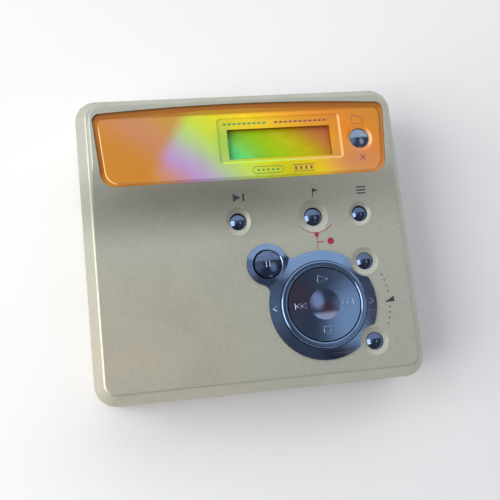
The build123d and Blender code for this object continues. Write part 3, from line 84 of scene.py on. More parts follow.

# Where painted shadow, painted highlights, the amber tint and other shading on the lens begin and end,
# in millimetres.
AMBER_LEFT = (-29.9, -35.3)
GREEN_TO_PINK = (5, 22)
LEDGE_REAR = (15.5, 18)
LEDGE_RIGHT = (20, 33)
LEDGE_LEFT = (-36, -33.5)
GLINT_SIDES = (31, 32.5)
GLINT_REAR = (29, 28)
REAR_BRINK_SHADOW = (30.15, 30.8)
SLOPE_WIDTH = (0.3, 0.45)

# Places of the printed marks, in millimetres.
KEY_SIGN_Y = 9.6
MARK_KEY_X = 16.05
OUTLINE_Y = 15.85
SCALE_RADIUS = 16.85
SIGN_LEVEL = 13.2
PHONES_Y = -21.5
LINE_Y = -8.0
CELL_Y = 25.0
OPEN_Y = -23.0
SUPPLY_Y = 3.0
PORT_Y = 21.0
HOLD_X = -12.0


# ---------- colours and settings

def seen(red, green, blue):
    """A colour as a screen shows it, turned into the linear values that shaders use."""
    channels = []
    for value in (red, green, blue):
        share = value / 255
        low = share / 12.92
        high = ((share + 0.055) / 1.055) ** 2.4
        channels.append(low if share <= 0.04045 else high)
    return tuple(channels)


def colour_prop(name, description, *screen):
    return FloatVectorProperty(
        name=name, description=description, subtype="COLOR", size=3, min=0, max=1, default=seen(*screen))


def length_prop(name, description, millimetres):
    return FloatProperty(
        name=name, description=description, subtype="DISTANCE", unit="LENGTH", min=0,
        default=millimetres * MM)


class PlayerFinish(bpy.types.PropertyGroup):
    """Colours and gloss of the player's outside."""
    paint: colour_prop("Paint", "Satin metallic paint of case and lid", 181, 183, 169)
    # Paint laid as a soft patch that is warmer and more beige toward the front left.
    paint_warm: colour_prop("Warm paint", "Paint where it has yellowed", 188, 182, 163)
    # Painted shade: the darker paint laid into the lid's cove below the lens.
    painted_cove_shade: colour_prop("Shaded paint", "Paint in the cove below the lens", 118, 116, 103)
    control: colour_prop("Controls", "Dark metallised ring, disc and bezel", 104, 130, 166)
    # Painted reflection: a mauve colour laid on the disc's left side and middle.
    painted_disc_reflection: colour_prop("Control tint", "Mauve tint on the disc", 126, 112, 136)
    # Painted shade: a dark dusky colour laid on the bezel's right side and bottom.
    painted_bezel_shade: colour_prop("Bezel tint", "Dusky tint on the bezel's right side", 48, 46, 68)
    key: colour_prop("Small keys", "Darker metallised caps", 74, 92, 124)
    group_key: colour_prop("Group key", "Pale blue cap in the lens", 120, 138, 162)
    amber: colour_prop("Lens amber", "Tint of the display lens", 198, 130, 44)
    # Painted shadow: the darker colour laid on the lens's ledge and rear brink, where the rim shades the
    # foil.
    ledge: colour_prop("Lens ledge", "Deeper tint round the lens", 166, 100, 26)
    print_dark: colour_prop("Dark print", "Marks on the face and the walls", 38, 41, 46)
    print_red: colour_prop("Crimson print", "Recording bracket", 146, 26, 66)
    paint_roughness: FloatProperty(
        name="Paint roughness", description="Gloss of the paint", subtype="FACTOR", min=0, max=1,
        default=0.42)


class PlayerMarks(bpy.types.PropertyGroup):
    """Sizes of the printed marks."""
    thickness: length_prop("Print thickness", "How far a printed mark stands up", 0.035)
    line: length_prop("Line width", "Width of the printed lines", 0.24)
    fine_line: length_prop("Fine line width", "Width of the bracket and the outlines", 0.17)
    lead_line: length_prop("Lead width", "Width of the supply sign's leads", 0.15)
    dot: length_prop("Dot radius", "Radius of the dots beside the volume keys", 0.19)
    raised: length_prop("Raised symbol height", "How far the dial's symbols stand up", 0.07)


class PlayerStudio(bpy.types.PropertyGroup):
    """Floor, lamp and camera."""
    floor: colour_prop("Floor", "Pale floor", 240, 239, 238)
    # Painted shade: floor colour laid toward the front right, away from the window.
    floor_painted_shade: colour_prop("Floor in shade", "Floor away from the window", 214, 213, 217)
    lamp_power: FloatProperty(
        name="Lamp power", description="Strength of the soft lamp", unit="POWER", min=0, default=8.4)
    focal_length: FloatProperty(
        name="Focal length", description="Camera lens in millimetres", min=1, default=59.85)


SETTINGS = {"player_finish": PlayerFinish, "player_marks": PlayerMarks, "player_studio": PlayerStudio}


# ---------- node trees

class Graph:
    """A node tree, the coordinates it works in, and short ways to add nodes to it."""

    def __init__(self, tree):
        self.tree = tree
        self.where = None

    def fill(self, socket, value):
        """Links a socket to another, or sets its value, where a colour is opaque."""
        if isinstance(value, bpy.types.NodeSocket):
            self.tree.links.new(value, socket)
        else:
            socket.default_value = (*value, 1.0) if socket.type == "RGBA" else value

    def add(self, kind, fixed=None, **sockets):
        """Adds a node, sets its properties, and fills its sockets by name."""
        made = self.tree.nodes.new(kind)
        for name, value in (fixed or {}).items():
            setattr(made, name, value)
        for name, value in sockets.items():
            self.fill(made.inputs[name.replace("_", " ")], value)
        return made

    def maths(self, operation, *values):
        """Adds a maths node and returns its value."""
        made = self.add("ShaderNodeMath", {"operation": operation})
        for socket, value in zip(made.inputs, values):
            self.fill(socket, value)
        return made.outputs[0]

    def product(self, first, *others):
        """Multiplies plain values, such as masks, with one another."""
        for other in others:
            first = self.maths("MULTIPLY", first, other)
        return first

    def vector_maths(self, operation, *values):
        """Adds a vector maths node and returns its result."""
        made = self.add("ShaderNodeVectorMath", {"operation": operation})
        for socket, value in zip(made.inputs, values):
            self.fill(socket, value)
        return made.outputs["Value" if operation == "LENGTH" else "Vector"]

    def mixed(self, factor, first, second, mode="MIX"):
        """One colour laid over another."""
        made = self.add("ShaderNodeMix", {"data_type": "RGBA", "blend_type": mode})
        for place, value in ((0, factor), (6, first), (7, second)):
            self.fill(made.inputs[place], value)
        return made.outputs[2]

    def ranged(self, value, low, high, to_low=0.0, to_high=1.0, smooth=True):
        """A value spread from one range to another, held at its ends."""
        made = self.add(
            "ShaderNodeMapRange", {"interpolation_type": "SMOOTHSTEP" if smooth else "LINEAR"},
            Value=value, From_Min=low, From_Max=high, To_Min=to_low, To_Max=to_high)
        return made.outputs["Result"]

    def fade(self, place, start, end, to_start=0.0, to_end=1.0):
        """A value that changes between two places in millimetres."""
        return self.ranged(place, start * MM, end * MM, to_start, to_end)

    def near(self, place, centre, inner, outer):
        """1 within the inner distance of a centre in millimetres, 0 past the outer one."""
        away = self.maths("ABSOLUTE", self.maths("SUBTRACT", place, centre * MM))
        return self.fade(away, inner, outer, 1.0, 0.0)

    def axes(self):
        """The coordinates as X, Y and Z."""
        return self.add("ShaderNodeSeparateXYZ", Vector=self.where).outputs

    def noise(self, scale, detail, where=None, **more):
        """Noise from 0 to 1, at the tree's coordinates or at others."""
        made = self.add(
            "ShaderNodeTexNoise", Vector=self.where if where is None else where,
            Scale=scale, Detail=detail, **more)
        return made.outputs["Fac"]

    def use(self, effect, **sockets):
        """Places a shared effect and returns its outputs."""
        made = self.add("ShaderNodeGroup", {"node_tree": EFFECTS[effect]}, Vector=self.where, **sockets)
        return made.outputs

    def spot(self, centre, reach, unit=MM):
        """A soft mask round a place, in millimetres unless another unit is given."""
        middle = [value * unit for value in centre]
        extent = [value * unit for value in reach]
        return self.use("spot", Centre=middle, Reach=extent)["Mask"]


# ---------- shared effects

class Effect(Graph):
    """A shader node group under construction: coordinates and settings in, plain values out."""

    def __init__(self, name, **settings):
        super().__init__(bpy.data.node_groups.new(name, "ShaderNodeTree"))
        for label, value in {"Vector": (0, 0, 0), **settings}.items():
            kind = "NodeSocketVector" if isinstance(value, tuple) else "NodeSocketFloat"
            socket = self.tree.interface.new_socket(
                name=label.replace("_", " "), in_out="INPUT", socket_type=kind)
            socket.default_value = value
        self.given = self.tree.nodes.new("NodeGroupInput").outputs
        self.where = self.given["Vector"]

    def give(self, **results):
        """Names the outputs, links them and returns the group."""
        for label in results:
            self.tree.interface.new_socket(name=label, in_out="OUTPUT", socket_type="NodeSocketFloat")
        self.add("NodeGroupOutput", **results)
        return self.tree


def paint_flake():
    """Bright and dark flakes in metallic paint, over a faint orange peel."""
    group = Effect("Paint flake", Scale=8000.0, Peel_Scale=1500.0)
    flakes = group.add("ShaderNodeTexVoronoi", Vector=group.where, Scale=group.given["Scale"])
    parts = group.add("ShaderNodeSeparateColor", Color=flakes.outputs["Color"])
    return group.give(Tone=parts.outputs["Red"], Height=group.noise(group.given["Peel Scale"], 2.0))


def handling_marks():
    """Soft smears left by fingers: roughness that wanders, and a faint stain."""
    group = Effect("Handling marks", Scale=90.0, Smooth=0.3, Smeared=0.45)
    given = group.given
    broad = group.noise(given["Scale"], 5.0, Distortion=0.6)
    specks = group.noise(group.product(given["Scale"], 9.0), 3.0)
    stain = group.ranged(group.maths("MULTIPLY_ADD", specks, 0.3, broad), 0.5, 0.9)
    span = group.maths("SUBTRACT", given["Smeared"], given["Smooth"])
    return group.give(Roughness=group.maths("MULTIPLY_ADD", stain, span, given["Smooth"]), Stain=stain)


def soft_spot():
    """A mask that fades from 1 at a centre to 0 at its reach."""
    group = Effect("Soft spot", Centre=(0, 0, 0), Reach=(1, 1, 1))
    away = group.vector_maths("SUBTRACT", group.where, group.given["Centre"])
    distance = group.vector_maths("LENGTH", group.vector_maths("DIVIDE", away, group.given["Reach"]))
    return group.give(Mask=group.ranged(distance, 0.0, 1.0, 1.0, 0.0))


def hair_scratches():
    """Hairlines from use, in two directions, sparse and short."""
    group = Effect("Hair scratches", Scale=60.0, Density=0.5)
    masks = []
    for turn, stretch in ((35.0, 26.0), (-62.0, 34.0)):
        drawn = group.add(
            "ShaderNodeMapping", Vector=group.where, Rotation=(0, 0, radians(turn)),
            Scale=(1, stretch, 1))
        lines = group.noise(group.given["Scale"], 1.0, drawn.outputs["Vector"])
        masks.append(group.ranged(lines, 0.70, 0.76))
    mask = group.product(group.maths("MAXIMUM", *masks), group.given["Density"])
    return group.give(Mask=mask, Height=group.maths("SUBTRACT", 1.0, mask))


def brushed_grain():
    """Fine parallel lines of rolled or brushed metal."""
    group = Effect("Brushed grain", Scale=150.0, Stretch=(1, 30, 30))
    drawn = group.add("ShaderNodeMapping", Vector=group.where, Scale=group.given["Stretch"])
    lines = group.noise(group.given["Scale"], 4.0, drawn.outputs["Vector"], Roughness=0.7)
    return group.give(Tone=group.ranged(lines, 0.3, 0.7, smooth=False), Height=lines)


def moulded_grain():
    """The fine spark-eroded grain of moulded plastic."""
    group = Effect("Moulded grain", Scale=4000.0)
    pits = group.noise(group.given["Scale"], 4.0, Roughness=0.65)
    patches = group.noise(group.product(group.given["Scale"], 0.03), 3.0)
    return group.give(
        Tone=group.maths("MULTIPLY_ADD", patches, 0.6, group.product(pits, 0.4)), Height=pits)


def foil_place():
    """How far along the foil's leaning bands of colour a point lies, from 0 to 1."""
    group = Effect("Foil place", Lean=1.1, Start=-19.5 * MM, Length=85 * MM, Ripple=1.2 * MM)
    given = group.given
    axes = group.axes()
    leaning = group.maths("MULTIPLY_ADD", axes["Y"], given["Lean"], axes["X"])
    centred = group.maths("SUBTRACT", leaning, given["Ripple"])
    swing = group.product(given["Ripple"], 2.0)
    rippled = group.maths("MULTIPLY_ADD", group.noise(120.0, 2.0), swing, centred)
    from_start = group.maths("SUBTRACT", rippled, given["Start"])
    return group.give(Place=group.maths("DIVIDE", from_start, given["Length"]))


EFFECTS = {
    "flake": paint_flake(),
    "handling": handling_marks(),
    "spot": soft_spot(),
    "scratches": hair_scratches(),
    "brushed": brushed_grain(),
    "moulded": moulded_grain(),
    "foil": foil_place(),
}


# ---------- materials

class Finish(Graph):
    """A material under construction, with its shader and its colour so far."""

    def __init__(self, name, colour=None, **constants):
        self.material = bpy.data.materials.new(name)
        self.material.use_nodes = True
        super().__init__(self.material.node_tree)
        self.colour = colour
        self.shader = self.tree.nodes["Principled BSDF"]
        for socket, value in constants.items():
            self.shader.inputs[socket.replace("_", " ")].default_value = value
        self.where = self.add("ShaderNodeTexCoord").outputs["Object"]

    def to(self, socket, value):
        """Fills one of the shader's sockets."""
        self.fill(self.shader.inputs[socket], value)

    def lay(self, colour, mask, share=None):
        """Lays a colour over what is there, as far as a mask and a share of it say."""
        if share is not None:
            mask = self.product(mask, share)
        self.colour = self.mixed(mask, self.colour, colour)

    def show_foil(self, bands):
        """Starts with bands along the foil, as (place, colour on a screen) stops."""
        made = self.add("ShaderNodeValToRGB", Fac=self.use("foil")["Place"])
        stops = made.color_ramp.elements
        while len(stops) < len(bands):
            stops.new(0.5)
        for stop, (place, colour) in zip(stops, bands):
            stop.position = place
            stop.color = (*seen(*colour), 1.0)
        self.colour = made.outputs["Color"]

    def bump(self, height, strength, depth):
        """Relief of a real depth in millimetres."""
        relief = self.add("ShaderNodeBump", Height=height, Strength=strength, Distance=depth * MM)
        self.to("Normal", relief.outputs["Normal"])

    def smears(self, smooth, smeared, scale=90.0):
        """Links wandering roughness and returns the stain mask."""
        marks = self.use("handling", Scale=scale, Smooth=smooth, Smeared=smeared)
        self.to("Roughness", marks["Roughness"])
        return marks["Stain"]

    def done(self):
        """Links the colour and returns the material."""
        self.to("Base Color", self.colour)
        return self.material


def player_paint(name, props, cove=False):
    """Satin metallic paint, a little warmer toward the front left, with painted shade in the lid's cove.
    """
    made = Finish(name, props.paint, Metallic=0.6, Specular_IOR_Level=0.4)
    made.lay(props.paint_warm, made.spot(*WARMER_FRONT_LEFT))
    if cove:
        # Painted shade in the cove below the lens.
        made.lay(props.painted_cove_shade, made.spot(*COVE_SHADE), 0.72)
    flake = made.use("flake")
    tone = made.ranged(flake["Tone"], 0.0, 1.0, 0.86, 1.12, smooth=False)
    grey = made.add("ShaderNodeCombineColor", Red=tone, Green=tone, Blue=tone).outputs["Color"]
    made.colour = made.mixed(1.0, made.colour, grey, "MULTIPLY")
    stain = made.smears(props.paint_roughness - 0.03, props.paint_roughness + 0.09, 60.0)
    made.lay(seen(140, 132, 112), stain, 0.10)
    made.bump(flake["Height"], 0.25, 0.02)
    return made.done()


def metallised(name, colour, tint=None, painted_light_spots=()):
    """Dark vacuum-metallised plastic with smears and hairlines, and a tint laid over any spots given,
    which paints reflection on the disc and shade on the bezel.
    """
    made = Finish(name, colour, Metallic=1.0, Coat_Weight=0.35, Coat_Roughness=0.04)
    # The tint over these spots is painted light: reflection on the disc, shade on the bezel.
    for centre, reach in painted_light_spots:
        made.lay(tint, made.spot(centre, reach))
    made.lay(seen(150, 156, 170), made.smears(0.05, 0.13, 220.0), 0.16)
    scratches = made.use("scratches", Scale=140.0, Density=0.35)
    made.lay(seen(170, 180, 196), scratches["Mask"])
    made.bump(scratches["Height"], 0.15, 0.01)
    return made.done()


# Bands of the foil and of the liquid crystal panel: place along the foil, colour on a screen.
FOIL_BANDS = (
    (0.00, (206, 140, 58)),
    (0.16, (203, 140, 64)),
    (0.21, (197, 138, 120)),
    (0.27, (184, 146, 196)),
    (0.33, (178, 170, 186)),
    (0.38, (174, 200, 140)),
    (0.45, (192, 216, 70)),
    (0.53, (222, 217, 26)),
    (0.62, (246, 212, 26)),
    (0.76, (236, 162, 36)),
    (0.86, (226, 136, 40)),
    (1.00, (204, 134, 46)),
)
DISPLAY_BANDS = (
    (0.42, (84, 240, 160)),
    (0.48, (104, 240, 130)),
    (0.53, (134, 210, 64)),
    (0.58, (154, 210, 6)),
    (0.66, (194, 202, 2)),
    (0.71, (202, 174, 8)),
    (0.76, (204, 132, 52)),
    (0.82, (198, 98, 68)),
)
# Soft patches over the bands: centre, reach, share and colour on a screen. The olive second patch is
# painted shade, darkening the yellow toward the front.
LENS_CLOUDS = (
    ((28, 17, 28), (13, 8, 20), 0.85, (200, 132, 92)),
    ((12, 16, 28), (12, 6, 20), 0.6, (172, 176, 10)),
    ((-5, 23.5, 28), (4.5, 7, 20), 0.7, (140, 204, 92)),
)


def lens_finish(props):
    """Glossy tinted plastic whose foil shows through in bands, clear over the display, with painted
    shadow on its ledge, painted shade in its sunk frame and toward the front, and painted highlights on
    the frame's slopes and the ledge's wall.
    """
    made = Finish("lens_tint", IOR=1.49, Specular_IOR_Level=0.35, Coat_Weight=0.15, Coat_Roughness=0.02)
    axes = made.axes()
    made.show_foil(FOIL_BANDS)
    leaning = made.maths("MULTIPLY_ADD", axes["Y"], -0.6, axes["X"])
    made.lay(props.amber, made.fade(leaning, *AMBER_LEFT, 0.0, 0.85))
    for centre, reach, share, colour in LENS_CLOUDS:
        made.lay(seen(*colour), made.spot(centre, reach), share)
    # Painted shade: the sunk frame's pocket laid a little darker and olive.
    made.lay(seen(150, 140, 60), field(made, axes, POCKET, POCKET_HALF, 0.2), 0.16)
    ledge_edges(made, axes, props)
    made.lay(seen(168, 100, 40), made.ranged(made.noise(260.0, 4.0), 0.3, 0.7, 0.0, 0.07))
    # Painted highlights on the sunk frame's front and right slopes.
    across = made.fade(axes["X"], *GREEN_TO_PINK)
    front_slope_highlight = made.mixed(across, seen(196, 232, 96), seen(232, 194, 120))
    made.lay(front_slope_highlight, slope_light(made, axes, "Y", -1))
    made.lay(seen(250, 186, 122), slope_light(made, axes, "X", 1))
    made.smears(0.05, 0.13, 130.0)
    made.bump(made.use("scratches", Scale=70.0, Density=0.5)["Height"], 0.12, 0.01)
    clear = made.product(field(made, axes, WINDOW, WINDOW_HALF, 0.15), 0.97)
    made.to("Alpha", made.maths("SUBTRACT", 1.0, clear))
    return made.done()


def ledge_edges(made, axes, props):
    """Painted shadow on the lens's stepped ledge and along its rear brink, and a painted highlight
    (glint) on its wall at front and sides.
    """
    low = made.fade(axes["Z"], LEDGE_LEVEL + 0.12, LEDGE_LEVEL + 0.02)
    rear = made.fade(axes["Y"], *LEDGE_REAR)
    right = made.fade(axes["X"], *LEDGE_RIGHT, 1.0, 0.25)
    left = made.fade(axes["X"], *LEDGE_LEFT, 0.3, 1.0)
    # Painted shadow on the ledge, faded toward the left and right.
    made.lay(props.ledge, made.product(low, rear, right, left))
    glint_wall_mask = made.fade(axes["Z"], LENS_LEVEL - 0.04, LENS_LEVEL - 0.12)
    above_ledge = made.maths("SUBTRACT", 1.0, low)
    sides = made.fade(made.maths("ABSOLUTE", axes["X"]), *GLINT_SIDES)
    not_rear = made.fade(axes["Y"], *GLINT_REAR)
    # Painted highlight: a pale glint on the ledge's wall.
    made.lay(seen(248, 214, 168), made.product(glint_wall_mask, above_ledge, sides, not_rear), 0.8)
    # Painted shadow along the rear brink.
    made.lay(props.ledge, made.fade(axes["Y"], *REAR_BRINK_SHADOW, 0.0, 0.8))


def field(made, axes, centre, half, edge):
    """1 within a rectangle seen from above, 0 outside it."""
    spans = zip("XY", centre, half)
    return made.product(*(made.near(axes[axis], at, reach - edge, reach) for axis, at, reach in spans))


def slope_light(made, axes, axis, side):
    """Mask for a painted highlight: 1 on one sloping side of the sunk frame, 0 elsewhere."""
    place = "XY".index(axis)
    other = 1 - place
    edge = POCKET[place] + side * POCKET_HALF[place]
    reach = POCKET_HALF[other]
    on_edge = made.near(axes[axis], edge, *SLOPE_WIDTH)
    within = made.near(axes["XY"[other]], POCKET[other], reach - 0.2, reach + 0.1)
    sunk = made.fade(axes["Z"], LENS_LEVEL - 0.05, LENS_LEVEL - 0.01, 1.0, 0.0)
    return made.product(on_edge, within, sunk)


def backing_finish():
    """Metallised foil behind the lens, banded like a spectrum."""
    made = Finish("backing_foil", Metallic=0.3, Coat_Weight=0.2)
    made.show_foil(FOIL_BANDS)
    grain = made.use("brushed", Scale=300.0)
    made.lay(seen(255, 240, 180), made.ranged(grain["Tone"], 0.0, 1.0, 0.0, 0.12, smooth=False))
    made.smears(0.22, 0.32)
    made.bump(grain["Height"], 0.1, 0.01)
    return made.done()


def bricks(made, unit, gap, width, height, **fixed):
    """A pattern of fields, sized in a unit in millimetres: 1 in their gaps, 0 in them."""
    return made.add(
        "ShaderNodeTexBrick", fixed, Vector=made.where, Scale=1.0 / (unit * MM),
        Mortar_Size=gap, Brick_Width=width, Row_Height=height).outputs["Fac"]


def display_finish():
    """The liquid crystal panel: banded green to brown, with a faint grid of cells."""
    made = Finish("display_glass", Specular_IOR_Level=0.3, Coat_Weight=0.2, Coat_Roughness=0.05)
    made.show_foil(DISPLAY_BANDS)
    cells = bricks(made, unit=0.55, gap=0.06, width=1.0, height=1.0, offset=0.0, squash=1.0)
    made.lay(seen(60, 92, 40), cells, 0.16)
    made.lay(seen(70, 110, 30), made.ranged(made.noise(500.0, 3.0), 0.35, 0.7, 0.0, 0.12))
    made.smears(0.12, 0.2)
    return made.done()


def plastic(name, colour, shade, smooth=0.4, smeared=0.52, scale=4000.0, relief=0.02):
    """Moulded plastic with a fine grain, its colours as a screen shows them."""
    made = Finish(name, seen(*shade), Specular_IOR_Level=0.45)
    grain = made.use("moulded", Scale=scale)
    made.lay(seen(*colour), made.ranged(grain["Tone"], 0.35, 0.65, smooth=False))
    made.smears(smooth, smeared)
    made.bump(grain["Height"], 0.35, relief)
    return made.done()


def metal(name, colour, shade, smooth=0.22, smeared=0.34, stretch=(1, 30, 30), scale=150.0):
    """Rolled, drawn or turned metal, with its lines along one axis."""
    made = Finish(name, seen(*shade), Metallic=0.8)
    grain = made.use("brushed", Scale=scale, Stretch=stretch)
    made.lay(seen(*colour), grain["Tone"])
    made.smears(smooth, smeared, 120.0)
    made.bump(grain["Height"], 0.2, 0.01)
    return made.done()


def board_finish(name):
    """A green board: solder mask over copper runs, with bright pads."""
    made = Finish(name, seen(24, 92, 52), Specular_IOR_Level=0.5, Coat_Weight=0.3, Coat_Roughness=0.2)
    runs = bricks(
        made, unit=3.1, gap=0.05, width=1.3, height=0.24, offset=0.37, offset_frequency=3, squash=1.6)
    made.lay(seen(46, 128, 72), runs)
    holes = made.add("ShaderNodeTexVoronoi", Vector=made.where, Scale=420.0).outputs["Distance"]
    pads = made.ranged(holes, 0.10, 0.13, 1.0, 0.0)
    made.lay(seen(206, 186, 120), pads)
    made.to("Metallic", made.product(pads, 0.9))
    made.smears(0.3, 0.42)
    made.bump(runs, 0.3, 0.03)
    return made.done()


def coil_finish(name):
    """Enamelled copper turns on a laminated ring."""
    made = Finish(name, seen(150, 78, 34), Metallic=0.9)
    turns = made.add(
        "ShaderNodeTexWave", {"wave_type": "BANDS", "bands_direction": "Z"},
        Vector=made.where, Scale=1700.0, Distortion=0.4).outputs["Fac"]
    made.lay(seen(228, 138, 78), turns)
    made.smears(0.25, 0.4)
    made.bump(turns, 0.5, 0.05)
    return made.done()


def objective_finish(name):
    """Coated glass of the objective, with a painted purple reflection of its coating at the middle."""
    made = Finish(
        name, seen(120, 140, 210), Transmission_Weight=0.85, IOR=1.52, Coat_Weight=1.0,
        Coat_Roughness=0.02)
    # Painted reflection: a purple patch where the coating catches the light.
    made.lay(seen(180, 150, 220), made.spot(*COATING_REFLECTION))
    made.smears(0.03, 0.09, 400.0)
    return made.done()


def print_finish(name, colour):
    """Screen-printed ink: slightly uneven, satin."""
    made = Finish(name, colour)
    lighter = [min(1.0, value * 1.35 + 0.01) for value in colour]
    grain = made.use("moulded", Scale=6000.0)
    made.lay(lighter, made.ranged(grain["Tone"], 0.4, 0.65, smooth=False))
    made.smears(0.35, 0.5)
    return made.done()


def dress(material, *names):
    """Gives CAD nodes a finish."""
    for name in names:
        for place in nodes[name].material_slots:
            place.material = material


# ---------- surfaces to print on

def face_surface(x, y):
    """Level of the lid's face, and of the cove that rises to the pod."""
    run = max(0.0, y - COVE_FRONT)
    radius = (COVE_RUN**2 + COVE_RISE**2) / (2 * COVE_RISE)
    return FACE_LEVEL + radius - sqrt(radius**2 - min(run, COVE_RUN) ** 2)


def bezel_surface(x, y):
    """Level of the bezel's gentle slope."""
    away = sqrt((x - DIAL[0]) ** 2 + (y - DIAL[1]) ** 2)
    share = (BEZEL_RADIUS - away) / (BEZEL_RADIUS - BEZEL_INNER_RADIUS)
    return BEZEL_RIM_LEVEL + (BEZEL_TOP_LEVEL - BEZEL_RIM_LEVEL) * share


def crowned(centre, top, ball):
    """A surface that is part of a ball, with its top over a centre."""
    def level(x, y):
        away = (x - centre[0]) ** 2 + (y - centre[1]) ** 2
        return top - ball + sqrt(ball**2 - away)
    return level


def flat(level):
    """A surface at one level."""
    return lambda x, y: level


# ---------- printed marks

class Mark:
    """Shapes of one mark, drawn flat in millimetres and then laid on a surface."""

    def __init__(self, thickness, surface, material, body, slot):
        self.shapes = bmesh.new()
        self.thickness = thickness / MM
        self.surface = surface
        self.material = material
        self.body = body
        self.slot = slot

    def line(self, points, width, closed=False):
        """A line with round corners along points."""
        curve = bpy.data.curves.new("line", "CURVE")
        curve.dimensions = "3D"
        curve.bevel_depth = width / MM / 2
        curve.bevel_resolution = 2
        curve.use_fill_caps = not closed
        spline = curve.splines.new("POLY")
        spline.points.add(len(points) - 1)
        for point, (x, y) in zip(spline.points, points):
            point.co = (x, y, 0, 1)
        spline.use_cyclic_u = closed
        holder = bpy.data.objects.new("line", curve)
        mesh = bpy.data.meshes.new_from_object(holder)
        mesh.transform(Matrix.Diagonal((1, 1, self.thickness / curve.bevel_depth, 1)))
        self.shapes.from_mesh(mesh)
        bpy.data.objects.remove(holder)
        bpy.data.curves.remove(curve)
        bpy.data.meshes.remove(mesh)

    def raise_face(self, face):
        """Gives a flat face its thickness, above and below the surface."""
        bmesh.ops.translate(self.shapes, verts=face.verts, vec=(0, 0, -self.thickness))
        grown = bmesh.ops.extrude_face_region(self.shapes, geom=[face])
        top = [item for item in grown["geom"] if isinstance(item, bmesh.types.BMVert)]
        bmesh.ops.translate(self.shapes, verts=top, vec=(0, 0, 2 * self.thickness))

    def patch(self, points):
        """A filled shape with straight sides."""
        corners = [self.shapes.verts.new((x, y, 0)) for x, y in points]
        self.raise_face(self.shapes.faces.new(corners))

    def dot(self, x, y, radius, sides=20):
        made = bmesh.ops.create_circle(
            self.shapes, cap_ends=True, segments=sides, radius=radius,
            matrix=Matrix.Translation((x, y, 0)))
        self.raise_face(made["verts"][0].link_faces[0])

    def arrow(self, x, y, size, turn=0.0):
        """A filled triangle that points along +X before its turn."""
        corners = [(size * 0.58, 0), (-size * 0.42, size * 0.52), (-size * 0.42, -size * 0.52)]
        self.patch([turned(point, turn, (x, y)) for point in corners])

    def bar(self, x, y, width, height):
        self.patch(oblong(x, y, width, height))

    def plus(self, x, y, size, width):
        self.bar(x, y, size, width)
        self.bar(x, y, width, size)

    def lay(self, name, place=None):
        """Follows the surface, turns to its wall, and makes an object that rides on its body."""
        shapes = self.shapes
        for vertex in shapes.verts:
            vertex.co.z += self.surface(vertex.co.x, vertex.co.y)
        if place is not None:
            bmesh.ops.transform(shapes, matrix=place, verts=shapes.verts)
        bmesh.ops.scale(shapes, vec=(MM, MM, MM), verts=shapes.verts)
        bmesh.ops.recalc_face_normals(shapes, faces=shapes.faces)
        piece = to_object(name, shapes, self.material)
        body = self.body
        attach(piece, body)


def to_object(name, shapes, material):
    """Makes shapes an object of the scene, with one finish."""
    mesh = bpy.data.meshes.new(name)
    shapes.to_mesh(mesh)
    shapes.free()
    mesh.materials.clear()
    mesh.materials.append(material)
    piece = bpy.data.objects.new(name, mesh)
    bpy.context.scene.collection.objects.link(piece)
    return piece


def oblong(x, y, width, height):
    """Corners of a rectangle round its middle."""
    shares = ((-0.5, -0.5), (0.5, -0.5), (0.5, 0.5), (-0.5, 0.5))
    return [(x + width * across, y + height * up) for across, up in shares]


def turned(point, degrees, about):
    """A point turned round the origin and then moved."""
    angle = radians(degrees)
    x = point[0] * cos(angle) - point[1] * sin(angle)
    y = point[0] * sin(angle) + point[1] * cos(angle)
    return (x + about[0], y + about[1])


def arc(centre, radius, start, end, steps):
    """Points along a circle, angles in degrees."""
    angles = [radians(start + (end - start) * step / steps) for step in range(steps + 1)]
    return [(centre[0] + radius * cos(a), centre[1] + radius * sin(a)) for a in angles]


# The walls of the case: a drawing's X on each, and the way it faces.
WALLS = {
    "left": ((0, -1, 0), (-1, 0, 0)),
    "right": ((0, 1, 0), (1, 0, 0)),
    "front": ((1, 0, 0), (0, -1, 0)),
}


def wall(name, along, level=SIGN_LEVEL):
    """A drawing plane on a wall of the case, at a place along it and a level."""
    x_axis, z_axis = (Vector(axis) for axis in WALLS[name])
    origin = (along, -CASE_DEPTH / 2, level)
    if name != "front":
        origin = (z_axis.x * CASE_WIDTH / 2, along, level)
    turn = Matrix((x_axis, z_axis.cross(x_axis), z_axis)).transposed().to_4x4()
    return Matrix.Translation(origin) @ turn


def on_face(context, ink):
    """What a mark printed on the lid's face is made with."""
    return (context.scene.player_marks.thickness, face_surface, ink, "lid", "lid_paint")


# ---------- operators

class Dressing(bpy.types.Operator):
    """Base for the player's operators."""
    bl_options = {"REGISTER", "UNDO"}


class PLAYER_OT_paint(Dressing):
    """Paint the case, the lid, the battery door and the sliders"""
    bl_idname = "player.paint"
    bl_label = "Paint"

    def execute(self, context):
        props = context.scene.player_finish
        dress(player_paint("case_paint", props), "lower_case", "battery_door")
        dress(player_paint("lid_paint", props, cove=True), "lid_shell")
        dress(player_paint("slider_paint", props), "open_slider", "hold_slider")
        return {"FINISHED"}


